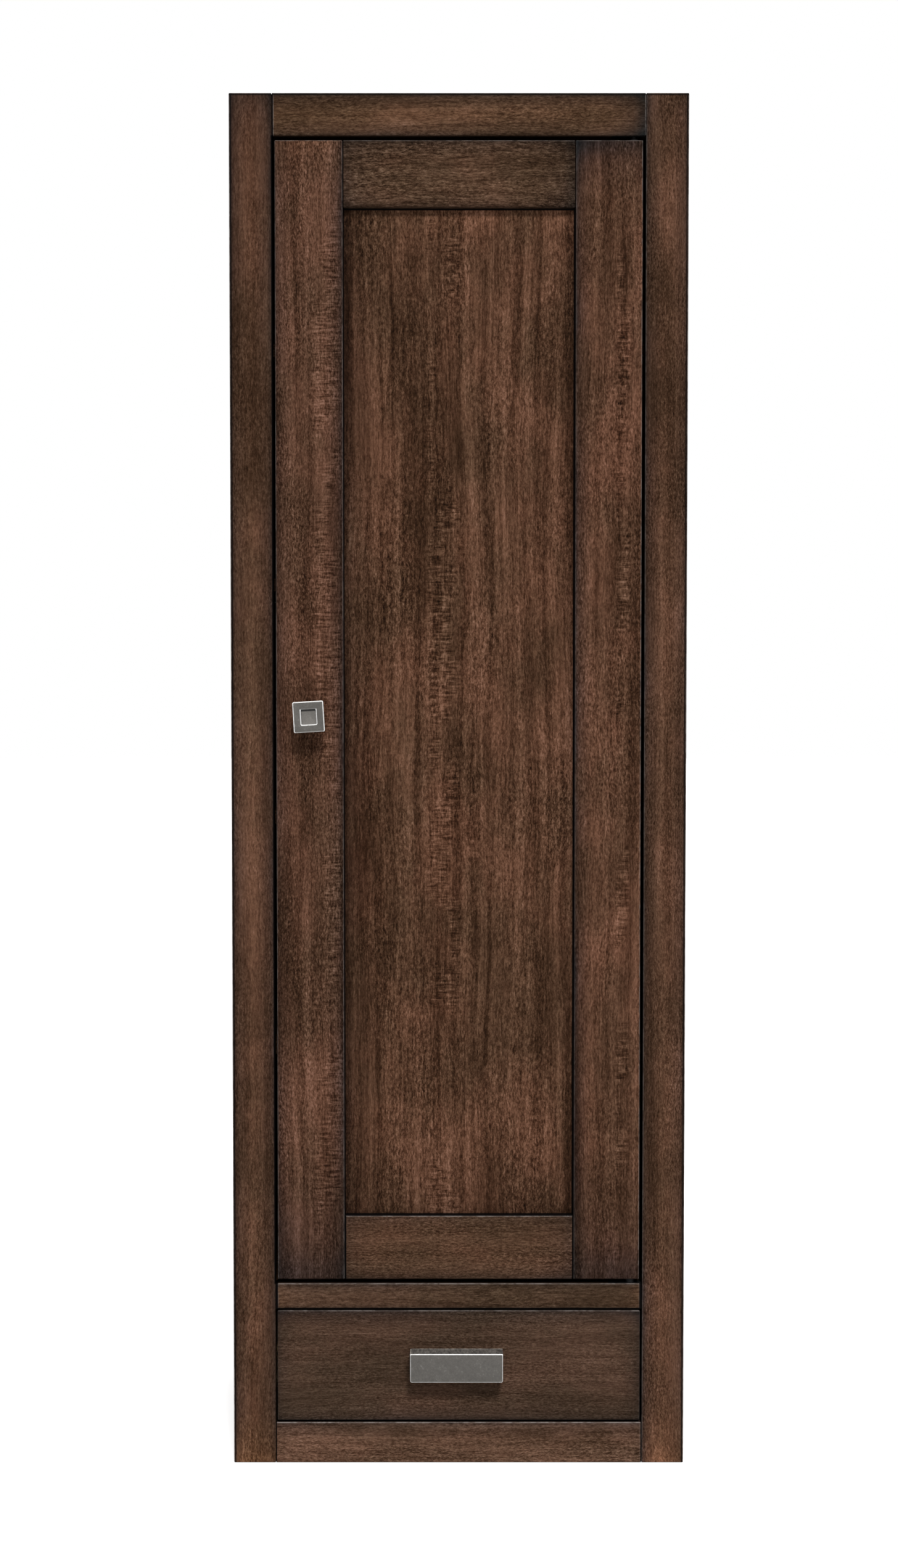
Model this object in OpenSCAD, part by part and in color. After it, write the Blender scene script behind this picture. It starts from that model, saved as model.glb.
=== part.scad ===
// Tower hutch: a tall framed cupboard with one inset door over one inset drawer.
// Millimetres. X runs to the viewer's right, Y runs back into the case, Z runs up from the floor.

/* [Case] */
// Overall width across the face frame
cabinet_w = 610; // [560:5:700]
// Height from the floor to the top
cabinet_h = 1840; // [1500:10:2100]
// Depth from the face of the frame to the back of the case
case_d = 457; // [450:1:560]
// Thickness of the side panels
side_t = 18; // [16:1:22]
// Thickness of the top panel
top_t = 18; // [16:1:22]
// Thickness of the deck, which is the floor of the cupboard
deck_t = 18; // [15:1:22]
// Thickness of the bottom panel under the drawer
bottom_t = 12; // [9:1:15]
// Thickness of the plywood back
back_t = 6; // [5:1:9]
// Depth of the housings that hold the panels in the sides
housing_d = 6; // [4:1:8]
// Width of the rebate that holds the back
rebate_w = 8; // [6:1:10]
// Thickness of the inner rails and the door stop
rail_t = 18; // [15:1:22]
// Height of the hanging rail inside the top of the back
hanging_rail_h = 80; // [60:5:110]
// How far the door stop hangs below the top edge of the door
stop_drop = 12; // [8:1:20]
// Leg of the triangular corner blocks in the base
block_leg = 40; // [30:1:50]
// Distance between the two wall fixing holes
wall_hole_pitch = 300; // [200:10:400]
// Diameter of the wall fixing holes
wall_hole_dia = 6; // [5:0.5:8]
// Thickness of the glides that the case stands on
glide_h = 4; // [3:0.5:6]
// How far the glides stand out below the case
glide_proud = 1; // [0.5:0.25:2.5]
// Diameter of the glides
glide_dia = 14; // [10:1:14]

/* [Face frame] */
// Thickness of the frame members
frame_t = 22; // [20:1:28]
// Width of the two frame stiles
stile_w = 57; // [50:1:70]
// Height of the top rail
top_rail_h = 56; // [50:1:70]
// Height of the rail between door and drawer
middle_rail_h = 35; // [32:0.5:45]
// Height of the bottom rail
bottom_rail_h = 55.5; // [48:0.5:70]
// Radius of the eased arrises on frame, door and drawer
arris_r = 2; // [1:0.25:2.5]

/* [Door] */
// Thickness of the door stiles and rails
door_t = 22; // [20:1:25]
// Width of the door stiles
door_stile_w = 90; // [75:1:105]
// Height of the top rail of the door
door_top_rail_h = 88; // [70:1:110]
// Height of the bottom rail of the door
door_bottom_rail_h = 88; // [70:1:110]
// Gap at each side of the door
door_side_gap = 3.5; // [3.5:0.25:4.5]
// Gap above and below the door
door_end_gap = 6; // [5:0.5:8]
// Thickness of the flat panel
door_panel_t = 7; // [5:0.5:8]
// How far the panel lies behind the face of the door
panel_set_back = 10; // [8:0.5:11]
// Depth of the panel groove in the door frame
panel_groove_d = 10; // [7:1:14]

/* [Drawer] */
// Height of the drawer face
drawer_face_h = 151; // [140:0.5:200]
// Thickness of the drawer face
drawer_face_t = 20; // [16:1:22]
// Gap at each side of the drawer face
drawer_side_gap = 2.5; // [2:0.25:4]
// Gap above the drawer face
drawer_top_gap = 2; // [2:0.25:5]
// Gap below the drawer face
drawer_bottom_gap = 2.5; // [2:0.25:6]
// Height of the drawer box
box_h = 110; // [90:1:120]
// Thickness of the drawer box sides, front and back
box_t = 12; // [11:1:15]
// Height of the drawer box above the bottom rail
box_lift = 11.5; // [8:0.5:16]
// Thickness of the drawer bottom
box_bottom_t = 6; // [4:0.5:6]
// Height of the drawer bottom above the lower edge of the box
box_bottom_lift = 10; // [8:1:14]
// Depth of the groove that holds the drawer bottom
box_groove_d = 6; // [4:0.5:7]
// Number of whole tails at each dovetailed corner
tail_count = 4; // [2:1:5]

/* [Slides] */
// Length of the drawer slides
slide_l = 400; // [300:10:400]
// Height of the slide profile
slide_h = 45; // [43:1:48]
// Thickness of the closed slide
slide_t = 12.7; // [12.5:0.1:14]
// Thickness of the slide's rolled steel
slide_gauge = 1.2; // [1:0.1:1.4]
// Diameter of the balls
ball_dia = 3.2; // [3:0.1:3.4]
// Number of balls in each row
ball_count = 8; // [4:1:10]

/* [Shelves] */
// Thickness of the adjustable shelves
shelf_t = 18; // [15:1:22]
// How far the shelves stand behind the face frame
shelf_set_back = 16; // [16:1:40]
// Gap at each end of a shelf
shelf_end_gap = 1.5; // [1:0.25:3]
// Diameter of the shelf pins
shelf_pin_dia = 5; // [5:0.5:7]
// Distance between the pin holes, one above another
pin_hole_pitch = 32; // [25:1:40]

/* [Hinge pivots] */
// Diameter of the pivot pins
pivot_dia = 5; // [4:0.5:6]
// Distance from the hinge edge of the door to the pin
pivot_from_edge = 12; // [11:0.5:16]
// Distance from the face of the door to the pin
pivot_from_face = 9.5; // [8:0.25:10]
// Length of the steel pivot plates
pivot_plate_l = 44; // [40:1:60]
// Width of the steel pivot plates
pivot_plate_w = 14; // [12:0.5:15]
// Thickness of the steel pivot plates
pivot_plate_t = 2; // [1.5:0.25:3]
// Length of pin inside the door
pivot_depth = 12; // [8:1:20]

/* [Knob and pull] */
// Side of the square knob
knob_w = 41; // [30:1:45]
// Reach of the knob from the door
knob_reach = 28; // [22:1:34]
// Thickness of the head of the knob
knob_head_t = 9; // [7:1:11]
// Side of the square recess in the knob, at its floor
knob_recess_w = 20; // [14:1:24]
// Depth of the recess in the knob
knob_recess_d = 3; // [2:0.5:4]
// How far the knob has turned on its screw, in degrees
knob_turn = 3.4; // [0:0.1:8]
// Width of the drawer pull
pull_w = 125; // [110:1:160]
// Height of the drawer pull
pull_h = 39; // [30:1:45]
// Reach of the drawer pull from the drawer face
pull_reach = 26; // [22:1:34]
// Thickness of the metal of the pull
pull_t = 3.5; // [3:0.5:5]
// Distance between the screws of the pull
pull_pitch = 96; // [64:1:96]
// How far the pull sits to the left of the middle of the drawer
pull_offset = 3; // [0:0.5:10]

/* [Hidden] */

$fn = 48;
cut = 1;              // how far a cutting shape runs past the face it cuts
fit = 0.05;           // radial room round a pin, dowel or screw
head_room = 0.2;      // radial room round a sunk screw head

// Colours of the finishes
stain = [0.30, 0.20, 0.14];
inner_stain = [0.33, 0.23, 0.17];
raw_wood = [0.80, 0.66, 0.48];
pewter = [0.42, 0.41, 0.39];
zinc = [0.72, 0.73, 0.75];
black_oxide = [0.09, 0.085, 0.08];
black_nylon = [0.07, 0.07, 0.075];

// Depths: the front of the knob or pull and the back of the case lie evenly about the origin
reach = max(knob_reach, pull_reach);
back_y = (case_d + reach) / 2;
front_y = back_y - case_d;
frame_back_y = front_y + frame_t;
back_face_y = back_y - back_t;
back_lift = 12;       // from the bottom of the case to the lower edge of the back
bottom_panel_drop = 6.5; // from the top of the bottom rail to the top of the bottom panel
wall_hole_lift = 15;  // from the lower edge of the hanging rail to its holes

// Heights, from the floor up
base_z = glide_proud;
back_z = base_z + back_lift;
bottom_rail_top = base_z + bottom_rail_h;
drawer_z = bottom_rail_top + drawer_bottom_gap;
middle_rail_z = drawer_z + drawer_face_h + drawer_top_gap;
deck_top = middle_rail_z + middle_rail_h;
door_z = deck_top + door_end_gap;
top_rail_z = cabinet_h - top_rail_h;
door_top = top_rail_z - door_end_gap;
door_h = door_top - door_z;
top_under = cabinet_h - top_t;
bottom_panel_top = bottom_rail_top - bottom_panel_drop;
bottom_panel_under = bottom_panel_top - bottom_t;
wall_hole_z = top_under - hanging_rail_h + wall_hole_lift;

// Widths, from the middle out
half_w = cabinet_w / 2;
open_half = half_w - stile_w;
inner_half = half_w - side_t;
open_w = 2 * open_half;
door_w = open_w - 2 * door_side_gap;
door_half = door_w / 2;
drawer_face_w = open_w - 2 * drawer_side_gap;

// Glides
glide_nail_dia = 2.4;
glide_nail_l = 15;
glide_front_inset = 12;
glide_rear_inset = 40;
glide_ys = [frame_back_y + glide_front_inset, back_y - glide_rear_inset];

// Dowels that join the frame rails to the stiles
dowel_dia = 8;
dowel_l = 40;
dowel_y = front_y + frame_t / 2;
middle_dowel_drop = 2; // how far the dowels of the middle rail lie below its middle
middle_dowel_half = 8; // half the distance between the two dowels there
dowel_levels = concat(
    [for (s = [-1, 1]) top_rail_z + top_rail_h / 2 + s * top_rail_h / 4],
    [for (s = [-1, 1]) middle_rail_z + middle_rail_h / 2 - middle_dowel_drop + s * middle_dowel_half],
    [for (s = [-1, 1]) base_z + bottom_rail_h / 2 + s * bottom_rail_h / 4]);

// Shelves and their pins
shelf_y0 = frame_back_y + shelf_set_back;
shelf_back_gap = 2;
shelf_y1 = back_face_y - shelf_back_gap;
shelf_bay = (top_under - deck_top) / 5;
pin_row_inset = 50;
pin_rows = [shelf_y0 + pin_row_inset, shelf_y1 - pin_row_inset];
pin_tab_t = 2;
pin_tab_w = 10;
pin_tab_reach = 12;
pin_plate_t = 1.4;
pin_plate_h = 14;
pin_drop = 8;         // from the underside of a shelf to the middle of its pin
pin_hole_d = 10;

// Pivots at the hinge side, which is on the right
pivot_x = door_half - pivot_from_edge;
pivot_y = front_y + pivot_from_face;
heel_r = norm([pivot_from_edge, door_t - pivot_from_face]);
pin_in_rail = 6;
bush_dia = 9;
bush_flange_dia = 14;
bush_flange_t = 1.5;
bush_tail = 2;        // how far a bush runs past the end of its pin
bush_l = pivot_depth + bush_tail;
plate_end_gap = 1;
plate_x0 = open_half - plate_end_gap - pivot_plate_l;
plate_screw_xs = [for (inset = [7, 18]) plate_x0 + inset];
washer_dia = 12;

// Door frame
panel_play = 0.5;
panel_y0 = front_y + panel_set_back;
door_back_y = front_y + door_t;
groove_bottom_x = door_half - door_stile_w + panel_groove_d;

// Catches at the knob side, one under the door stop and one on the deck
catch_w = 45;
catch_d = 14;
catch_h = 13;
catch_inset = 35;
catch_x = -door_half + catch_inset;
strike_t = 1.2;
catch_y = max(frame_back_y, door_back_y) + strike_t;
magnet_w = 28;
magnet_h = 8;
magnet_d = 6;
catch_seat = 5;       // how far the screw heads lie from the face that the catch is fixed to
catch_bases = [deck_top, door_top - stop_drop];
strike_levels = [door_z, door_top - stop_drop - catch_h];

// Knob on the middle of the knob stile
knob_x = -door_half + door_stile_w / 2;
knob_drop = 1;        // how far it lies below the middle of the door
knob_z = door_z + door_h / 2 - knob_drop;
knob_screw_dia = 4;
knob_bevel = 1.2;
knob_recess_rim = 1.7;
knob_neck_w = 14;
knob_foot_w = 22;
knob_foot_t = 3;

// Drawer box and slides
box_half = open_half - slide_t;
box_y0 = front_y + drawer_face_t;
box_overhang = 5;     // how far the drawer box is longer than its slides
box_d = slide_l + box_overhang;
box_y1 = box_y0 + box_d;
box_z0 = bottom_rail_top + box_lift;
slide_z = box_z0 + box_h / 2;
slide_front_gap = 1;
slide_y0 = frame_back_y + slide_front_gap;
tail_slope = 0.16;
pin_w = 8;            // narrow width of a dovetail pin
pull_rise = 4;        // how far the pull lies above the middle of the drawer face
pull_z = drawer_z + drawer_face_h / 2 + pull_rise;
pull_screw_dia = 4;
pull_post_dia = 9;
pull_x = -pull_offset;
pull_arris_r = 1.5;
face_screw_half_x = 150;
face_screw_half_z = 30;
face_screw_xs = [-face_screw_half_x, face_screw_half_x];
face_screw_zs = [slide_z - face_screw_half_z, slide_z + face_screw_half_z];
slide_screw_ys = [for (share = [0.1, 0.5, 0.9]) slide_y0 + share * slide_l];

// Slide profile: u runs from the cleat to the drawer, v runs up from the middle of the slide
race_play = 0.05;
web_gap = 0.8;        // from the web of the outer member to the web of the middle one
outer_lip_gap = 1.7;  // from the flanges of the outer member to the drawer
middle_lip_gap = 2.2; // from the flanges of the middle member to the drawer
inner_lip_gap = 1;    // from the flanges of the inner member to the web of the middle one
driver_hole_dia = 9;
outer_flange_v = slide_h / 2 - slide_gauge;
race_sink = 0.1;      // how deep the groove of a race is cut into its flange
race_rise = 0.8;      // how far the lips of a race stand up beside the balls
race_half_w = 2;
race_step = ball_dia / 2 + race_play - race_sink;
outer_ball_v = outer_flange_v - race_step;
middle_v = outer_ball_v - race_step;
inner_ball_v = middle_v - slide_gauge - race_step;
inner_v = inner_ball_v - race_step;
ball_u = slide_t / 2;
cage_t = 0.8;
cage_w = 6;
ball_pitch = 16;
cage_l = (ball_count + 1) * ball_pitch;
cage_y0 = slide_y0 + 0.6 * (slide_l - cage_l);
cleat_h = slide_h + 5;

// Machine screws of the knob and the pull
machine_head_dia = 9;
machine_head_h = 2.6;
tip_room = 3;         // from a screw's tip to the end of its hole

// Screws: [shank diameter, length, head diameter, head height]
back_screw = [3, 18, 7, 2];
plate_screw = [3, 12, 6.5, 1.8];
catch_screw = [2.5, 12, 5, 1.6];
strike_screw = [2.5, 10, 5, 1.1];
slide_screw = [3, 12, 6.4, 1.1];
drawer_slide_screw = [3, 10, 6, 1.8];
face_screw = [4, 26, 8, 2.4];

// Screws of the back: up both sides, and into the deck, the hanging rail and the rear base rail
back_screw_rows = 6;
back_screw_inset = 60;
back_screw_drop = 15;
back_screw_step = (cabinet_h - base_z - 2 * back_screw_inset) / back_screw_rows;
back_screw_points = concat(
    [for (s = [-1, 1], i = [0:back_screw_rows])
        [s * (inner_half + rebate_w / 2), base_z + back_screw_inset + i * back_screw_step]],
    [for (s = [-1, 1], z = [deck_top - deck_t / 2, top_under - back_screw_drop,
            bottom_panel_under - back_screw_drop])
        [s * inner_half / 2, z]]);

module rod_x(d, l) rotate([0, 90, 0]) cylinder(d = d, h = l);
module rod_y(d, l) rotate([-90, 0, 0]) cylinder(d = d, h = l);
module face_back() rotate([-90, 0, 0]) children();
module face_right() rotate([0, 90, 0]) children();
module face_left() rotate([0, -90, 0]) children();
module both_sides() {
    children();
    mirror([1, 0, 0]) children();
}

// A rectangle with round corners, its lower left corner at the origin
module round_rect(w, h, r) {
    translate([r, 0]) square([w - 2 * r, h]);
    translate([0, r]) square([w, h - 2 * r]);
    for (x = [r, w - r], y = [r, h - r]) translate([x, y]) circle(r = r);
}

// A board with every arris eased to radius r
module eased_board(size, r = arris_r) {
    intersection() {
        linear_extrude(size[2]) round_rect(size[0], size[1], r);
        translate([0, size[1], 0]) rotate([90, 0, 0]) linear_extrude(size[1])
            round_rect(size[0], size[2], r);
        rotate([90, 0, 90]) linear_extrude(size[0]) round_rect(size[1], size[2], r);
    }
}

// A block with a chamfer c round the edges of its front face, which looks along -Y
module chamfered_block(w, d, h, c) {
    translate([-w / 2, 0, -h / 2]) intersection() {
        linear_extrude(h) polygon([[c, 0], [w - c, 0], [w, c], [w, d], [0, d], [0, c]]);
        rotate([90, 0, 90]) linear_extrude(w)
            polygon([[0, c], [c, 0], [d, 0], [d, h], [c, h], [0, h - c]]);
    }
}

// The bevelled mouth of a square hole of side w: it widens by c on each side over a depth c, then runs on
module flared_mouth(w, c) {
    half = w / 2;
    wide = half + c;
    outline = [[-half, 0], [half, 0], [wide, c], [wide, c + cut], [-wide, c + cut], [-wide, c]];
    intersection() {
        translate([0, 0, -w]) linear_extrude(2 * w) polygon(outline);
        rotate([0, 90, 0]) translate([0, 0, -w]) linear_extrude(2 * w) polygon(outline);
    }
}

// The cross in a screw's head, cut down from z = 0
module cross_recess(head_d, depth) {
    for (a = [0, 90]) rotate([0, 0, a])
        translate([-0.3 * head_d, -0.07 * head_d, -depth]) cube([0.6 * head_d, 0.14 * head_d, depth + cut]);
}

// A countersunk screw: the flat of its head is at z = 0 and its shank runs down
module flat_screw(s, grow = 0) {
    translate([0, 0, -s[3]]) cylinder(d1 = s[0] + 2 * grow, d2 = s[2] + 2 * grow, h = s[3]);
    translate([0, 0, -s[1]]) cylinder(d = s[0] + 2 * grow, h = s[1]);
}

module flat_screw_driven(s) {
    difference() {
        flat_screw(s);
        cross_recess(s[2], s[3] / 2);
    }
}

// A pan head screw: its head stands on z = 0 and its shank runs down
module pan_screw(s) {
    difference() {
        union() {
            cylinder(d1 = s[2], d2 = 0.8 * s[2], h = s[3]);
            translate([0, 0, -s[1]]) cylinder(d = s[0], h = s[1] + s[3] / 2);
        }
        translate([0, 0, s[3]]) cross_recess(s[2], s[3] / 2);
    }
}

module pan_screw_hole(s) translate([0, 0, -s[1] - fit]) cylinder(d = s[0] + 2 * fit, h = s[1] + fit + cut);

// Face frame

module dowel_holes() {
    for (s = [-1, 1], z = dowel_levels)
        translate([s * open_half - dowel_l / 2 - fit, dowel_y, z])
            rod_x(dowel_dia + 2 * fit, dowel_l + 2 * fit);
}

module frame_dowels() color(raw_wood) {
    for (s = [-1, 1], z = dowel_levels)
        translate([s * open_half - dowel_l / 2, dowel_y, z]) rod_x(dowel_dia, dowel_l);
}

module right_stile() color(stain) difference() {
    translate([open_half, front_y, base_z]) eased_board([stile_w, frame_t, cabinet_h - base_z]);
    dowel_holes();
}

module left_stile() mirror([1, 0, 0]) right_stile();

module frame_rail(z, h) translate([-open_half, front_y, z]) eased_board([open_w, frame_t, h]);

module top_rail() color(stain) difference() {
    frame_rail(top_rail_z, top_rail_h);
    dowel_holes();
    pivot_recess(1);
}

module middle_rail() color(stain) difference() {
    frame_rail(middle_rail_z, middle_rail_h);
    dowel_holes();
    pivot_recess(0);
}

module bottom_rail() color(stain) difference() {
    frame_rail(base_z, bottom_rail_h);
    dowel_holes();
}

// Case

module deck_shape() translate([-inner_half - housing_d, frame_back_y, deck_top - deck_t])
    cube([2 * (inner_half + housing_d), back_face_y - frame_back_y, deck_t]);

module bottom_shape() translate([-inner_half - housing_d, frame_back_y, bottom_panel_under])
    cube([2 * (inner_half + housing_d), back_face_y - frame_back_y, bottom_t]);

module top_shape() difference() {
    translate([-inner_half - housing_d, frame_back_y, top_under])
        cube([2 * (inner_half + housing_d), back_y - frame_back_y, top_t]);
    translate([-half_w, back_face_y, top_under - cut]) cube([cabinet_w, back_t + cut, top_t / 2 + cut]);
}

module back_shape() translate([-inner_half - rebate_w, back_face_y, back_z])
    cube([2 * (inner_half + rebate_w), back_t, top_under + top_t / 2 - back_z]);

module back_screw_set(grow = 0, driven = false) {
    for (p = back_screw_points) translate([p[0], back_y, p[1]]) face_back()
        if (driven) flat_screw_driven(back_screw);
        else flat_screw(back_screw, grow);
}

module shelf_pin_holes() {
    for (i = [1:4], y = pin_rows, k = [-1, 0, 1])
        translate([inner_half - cut, y, shelf_z(i) - pin_drop + k * pin_hole_pitch])
            rod_x(shelf_pin_dia + 2 * fit, pin_hole_d + cut);
}

module right_side_panel() color(stain) difference() {
    translate([inner_half, frame_back_y, base_z])
        eased_board([side_t, back_y - frame_back_y, cabinet_h - base_z]);
    deck_shape();
    bottom_shape();
    top_shape();
    translate([inner_half - cut, back_face_y, 0]) cube([rebate_w + cut, back_t + cut, top_under + top_t / 2]);
    shelf_pin_holes();
    back_screw_set(fit);
    glide_seats();
}

module left_side_panel() mirror([1, 0, 0]) right_side_panel();

module top_panel() color(stain) top_shape();

module deck_panel() color(inner_stain) difference() {
    deck_shape();
    back_screw_set(fit);
    catch_screw_holes();
}

module bottom_panel() color(inner_stain) bottom_shape();

module back_panel() color(inner_stain) difference() {
    back_shape();
    back_screw_set(fit);
    wall_holes();
}

// Wall fixing holes, low in the hanging rail where a driver passes under the door stop
module wall_holes() {
    for (s = [-1, 1]) translate([s * wall_hole_pitch / 2, back_face_y - rail_t - cut, wall_hole_z])
        rod_y(wall_hole_dia, back_t + rail_t + 2 * cut);
}

module hanging_rail() color(inner_stain) difference() {
    translate([-inner_half, back_face_y - rail_t, top_under - hanging_rail_h])
        cube([2 * inner_half, rail_t, hanging_rail_h]);
    back_screw_set(fit);
    wall_holes();
}

module rear_base_rail() color(inner_stain) difference() {
    translate([-inner_half, back_face_y - rail_t, base_z])
        cube([2 * inner_half, rail_t, bottom_panel_under - base_z]);
    back_screw_set(fit);
}

// The stop is cut away at the hinge end, where the heel of the door swings back
module door_stop_rail() color(inner_stain) difference() {
    translate([-inner_half, frame_back_y, door_top - stop_drop])
        cube([2 * inner_half, rail_t, top_under - door_top + stop_drop]);
    translate([pivot_x - heel_r - 2, frame_back_y - cut, door_top - stop_drop - cut])
        cube([half_w, rail_t + 2 * cut, stop_drop + door_end_gap + cut]);
    catch_screw_holes();
}

module right_runner_cleat() color(raw_wood) difference() {
    translate([open_half, frame_back_y, slide_z - cleat_h / 2])
        cube([inner_half - open_half, slide_l + slide_front_gap, cleat_h]);
    for (y = slide_screw_ys) translate([open_half - slide_gauge, y, slide_z])
        face_left() flat_screw(slide_screw, fit);
}

module left_runner_cleat() mirror([1, 0, 0]) right_runner_cleat();

module corner_blocks() color(raw_wood) both_sides() {
    for (rear = [0, 1])
        translate([inner_half, rear ? back_face_y - rail_t : frame_back_y, base_z])
            linear_extrude(bottom_panel_under - base_z)
                polygon([[0, 0], [-block_leg, 0], [0, rear ? -block_leg : block_leg]]);
}

// Nail-on glides let into the lower edges of the sides, behind the frame, where they don't show
module at_glides() for (y = glide_ys) translate([half_w - side_t / 2, y, 0]) children();

module glide_seats() at_glides() {
    cylinder(d = glide_dia + 2 * fit, h = glide_h);
    cylinder(d = glide_nail_dia + 2 * fit, h = glide_h + glide_nail_l + fit);
}

module glides() color(black_nylon) both_sides() at_glides() {
    cylinder(d1 = glide_dia - glide_proud, d2 = glide_dia, h = glide_proud / 2);
    translate([0, 0, glide_proud / 2]) cylinder(d = glide_dia, h = glide_h - glide_proud / 2);
    translate([0, 0, glide_h / 2]) cylinder(d = glide_nail_dia, h = glide_h / 2 + glide_nail_l);
}

module back_screws() color(zinc) back_screw_set(driven = true);

// Adjustable shelves

function shelf_z(i) = deck_top + i * shelf_bay - shelf_t / 2;

module shelf(i) color(inner_stain) translate([-inner_half + shelf_end_gap, shelf_y0, shelf_z(i)])
    eased_board([2 * (inner_half - shelf_end_gap), shelf_y1 - shelf_y0, shelf_t], 1);

module shelf_pins() color(zinc) both_sides() {
    for (i = [1:4], y = pin_rows) translate([inner_half, y, shelf_z(i)]) {
        translate([-pin_plate_t / 2, 0, -pin_drop]) rod_x(shelf_pin_dia, pin_hole_d - 1 + pin_plate_t / 2);
        translate([-pin_plate_t, -pin_tab_w / 2, -pin_plate_h]) cube([pin_plate_t, pin_tab_w, pin_plate_h]);
        translate([-pin_tab_reach, -pin_tab_w / 2, -pin_tab_t]) cube([pin_tab_reach, pin_tab_w, pin_tab_t]);
    }
}

// Door pivots: upper = 1 works on the top rail, upper = 0 on the middle rail

module at_pivot(upper) translate([0, 0, upper ? top_rail_z : deck_top]) mirror([0, 0, upper]) children();

module pivot_plate_blank(grow = 0)
    translate([plate_x0, pivot_y - pivot_plate_w / 2, -pivot_plate_t])
        cube([pivot_plate_l, pivot_plate_w, pivot_plate_t + grow]);

module pivot_screw_set(grow = 0, driven = false) {
    for (x = plate_screw_xs) translate([x, pivot_y, 0])
        if (driven) flat_screw_driven(plate_screw);
        else flat_screw(plate_screw, grow);
}

module pivot_recess(upper) at_pivot(upper) {
    pivot_plate_blank(cut);
    pivot_screw_set(fit);
    translate([pivot_x, pivot_y, -pin_in_rail - fit])
        cylinder(d = pivot_dia + 2 * fit, h = pin_in_rail + cut);
}

module pivot_plates() color(black_oxide) for (upper = [0, 1]) at_pivot(upper) difference() {
    pivot_plate_blank();
    pivot_screw_set(fit);
    translate([pivot_x, pivot_y, -pivot_plate_t - cut])
        cylinder(d = pivot_dia + 2 * fit, h = pivot_plate_t + 2 * cut);
}

module pivot_pins() color(black_oxide) for (upper = [0, 1]) at_pivot(upper)
    translate([pivot_x, pivot_y, -pin_in_rail])
        cylinder(d = pivot_dia, h = pin_in_rail + door_end_gap + pivot_depth);

module pivot_plate_screws() color(black_oxide) for (upper = [0, 1]) at_pivot(upper)
    pivot_screw_set(driven = true);

module thrust_washer() color(black_nylon) at_pivot(0) translate([pivot_x, pivot_y, 0]) difference() {
    cylinder(d = washer_dia, h = door_end_gap - bush_flange_t);
    translate([0, 0, -cut]) cylinder(d = pivot_dia + 2 * fit, h = door_end_gap + 2 * cut);
}

module bush_hole() for (upper = [0, 1]) at_pivot(upper) translate([pivot_x, pivot_y, door_end_gap - cut])
    cylinder(d = bush_dia + 2 * fit, h = bush_l + fit + cut);

module pivot_bushes() color(black_nylon) for (upper = [0, 1]) at_pivot(upper)
    translate([pivot_x, pivot_y, door_end_gap]) difference() {
        union() {
            translate([0, 0, -bush_flange_t]) cylinder(d = bush_flange_dia, h = bush_flange_t);
            translate([0, 0, -bush_flange_t / 2]) cylinder(d = bush_dia, h = bush_l + bush_flange_t / 2);
        }
        translate([0, 0, -bush_flange_t - cut])
            cylinder(d = pivot_dia + 2 * fit, h = bush_l + bush_flange_t + 2 * cut);
    }

// Door

module door_panel_shape(play = 0)
    translate([-groove_bottom_x + play, panel_y0, door_z + door_bottom_rail_h - panel_groove_d + play])
        cube([2 * (groove_bottom_x - play), door_panel_t,
            door_h - door_bottom_rail_h - door_top_rail_h + 2 * (panel_groove_d - play)]);

// The groove that runs the whole length of the inner edge of a door stile
module stile_groove() translate([-groove_bottom_x, panel_y0, door_z - cut])
    cube([2 * groove_bottom_x, door_panel_t, door_h + 2 * cut]);

module door_stile() difference() {
    translate([door_half - door_stile_w, front_y, door_z]) eased_board([door_stile_w, door_t, door_h]);
    stile_groove();
}

module door_hinge_stile() color(stain) difference() {
    door_stile();
    bush_hole();
}

module door_knob_stile() color(stain) difference() {
    mirror([1, 0, 0]) door_stile();
    translate([knob_x, front_y - cut, knob_z]) rod_y(knob_screw_dia + 2 * fit, door_t + 2 * cut);
    strike_screw_set(fit);
}

module door_rail(z, h) difference() {
    union() {
        translate([-door_half + door_stile_w, front_y, z])
            eased_board([door_w - 2 * door_stile_w, door_t, h]);
        translate([-groove_bottom_x, panel_y0, z]) cube([2 * groove_bottom_x, door_panel_t, h]);
    }
    door_panel_shape();
}

module door_top_rail() color(stain) door_rail(door_top - door_top_rail_h, door_top_rail_h);

module door_bottom_rail() color(stain) door_rail(door_z, door_bottom_rail_h);

module door_panel() color(stain) door_panel_shape(panel_play);

// Magnetic catches and their strike plates

catch_screw_xs = [catch_x - catch_w / 2 + 4, catch_x + catch_w / 2 - 4];

module magnet_shape(z) translate([catch_x - magnet_w / 2, catch_y, z + (catch_h - magnet_h) / 2])
    cube([magnet_w, magnet_d, magnet_h]);

// Places a catch's screw frame: z = 0 is the face that the catch is fixed to, with +z into the catch
module at_catch(upper) translate([0, catch_y + catch_d / 2, catch_bases[upper]])
    mirror([0, 0, upper]) children();

module catch_screw_set(upper, grow = 0, driven = false) at_catch(upper) {
    for (x = catch_screw_xs) translate([x, 0, catch_seat])
        if (driven) flat_screw_driven(catch_screw);
        else flat_screw(catch_screw, grow);
}

module catch_screw_holes() for (upper = [0, 1]) catch_screw_set(upper, fit);

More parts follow.
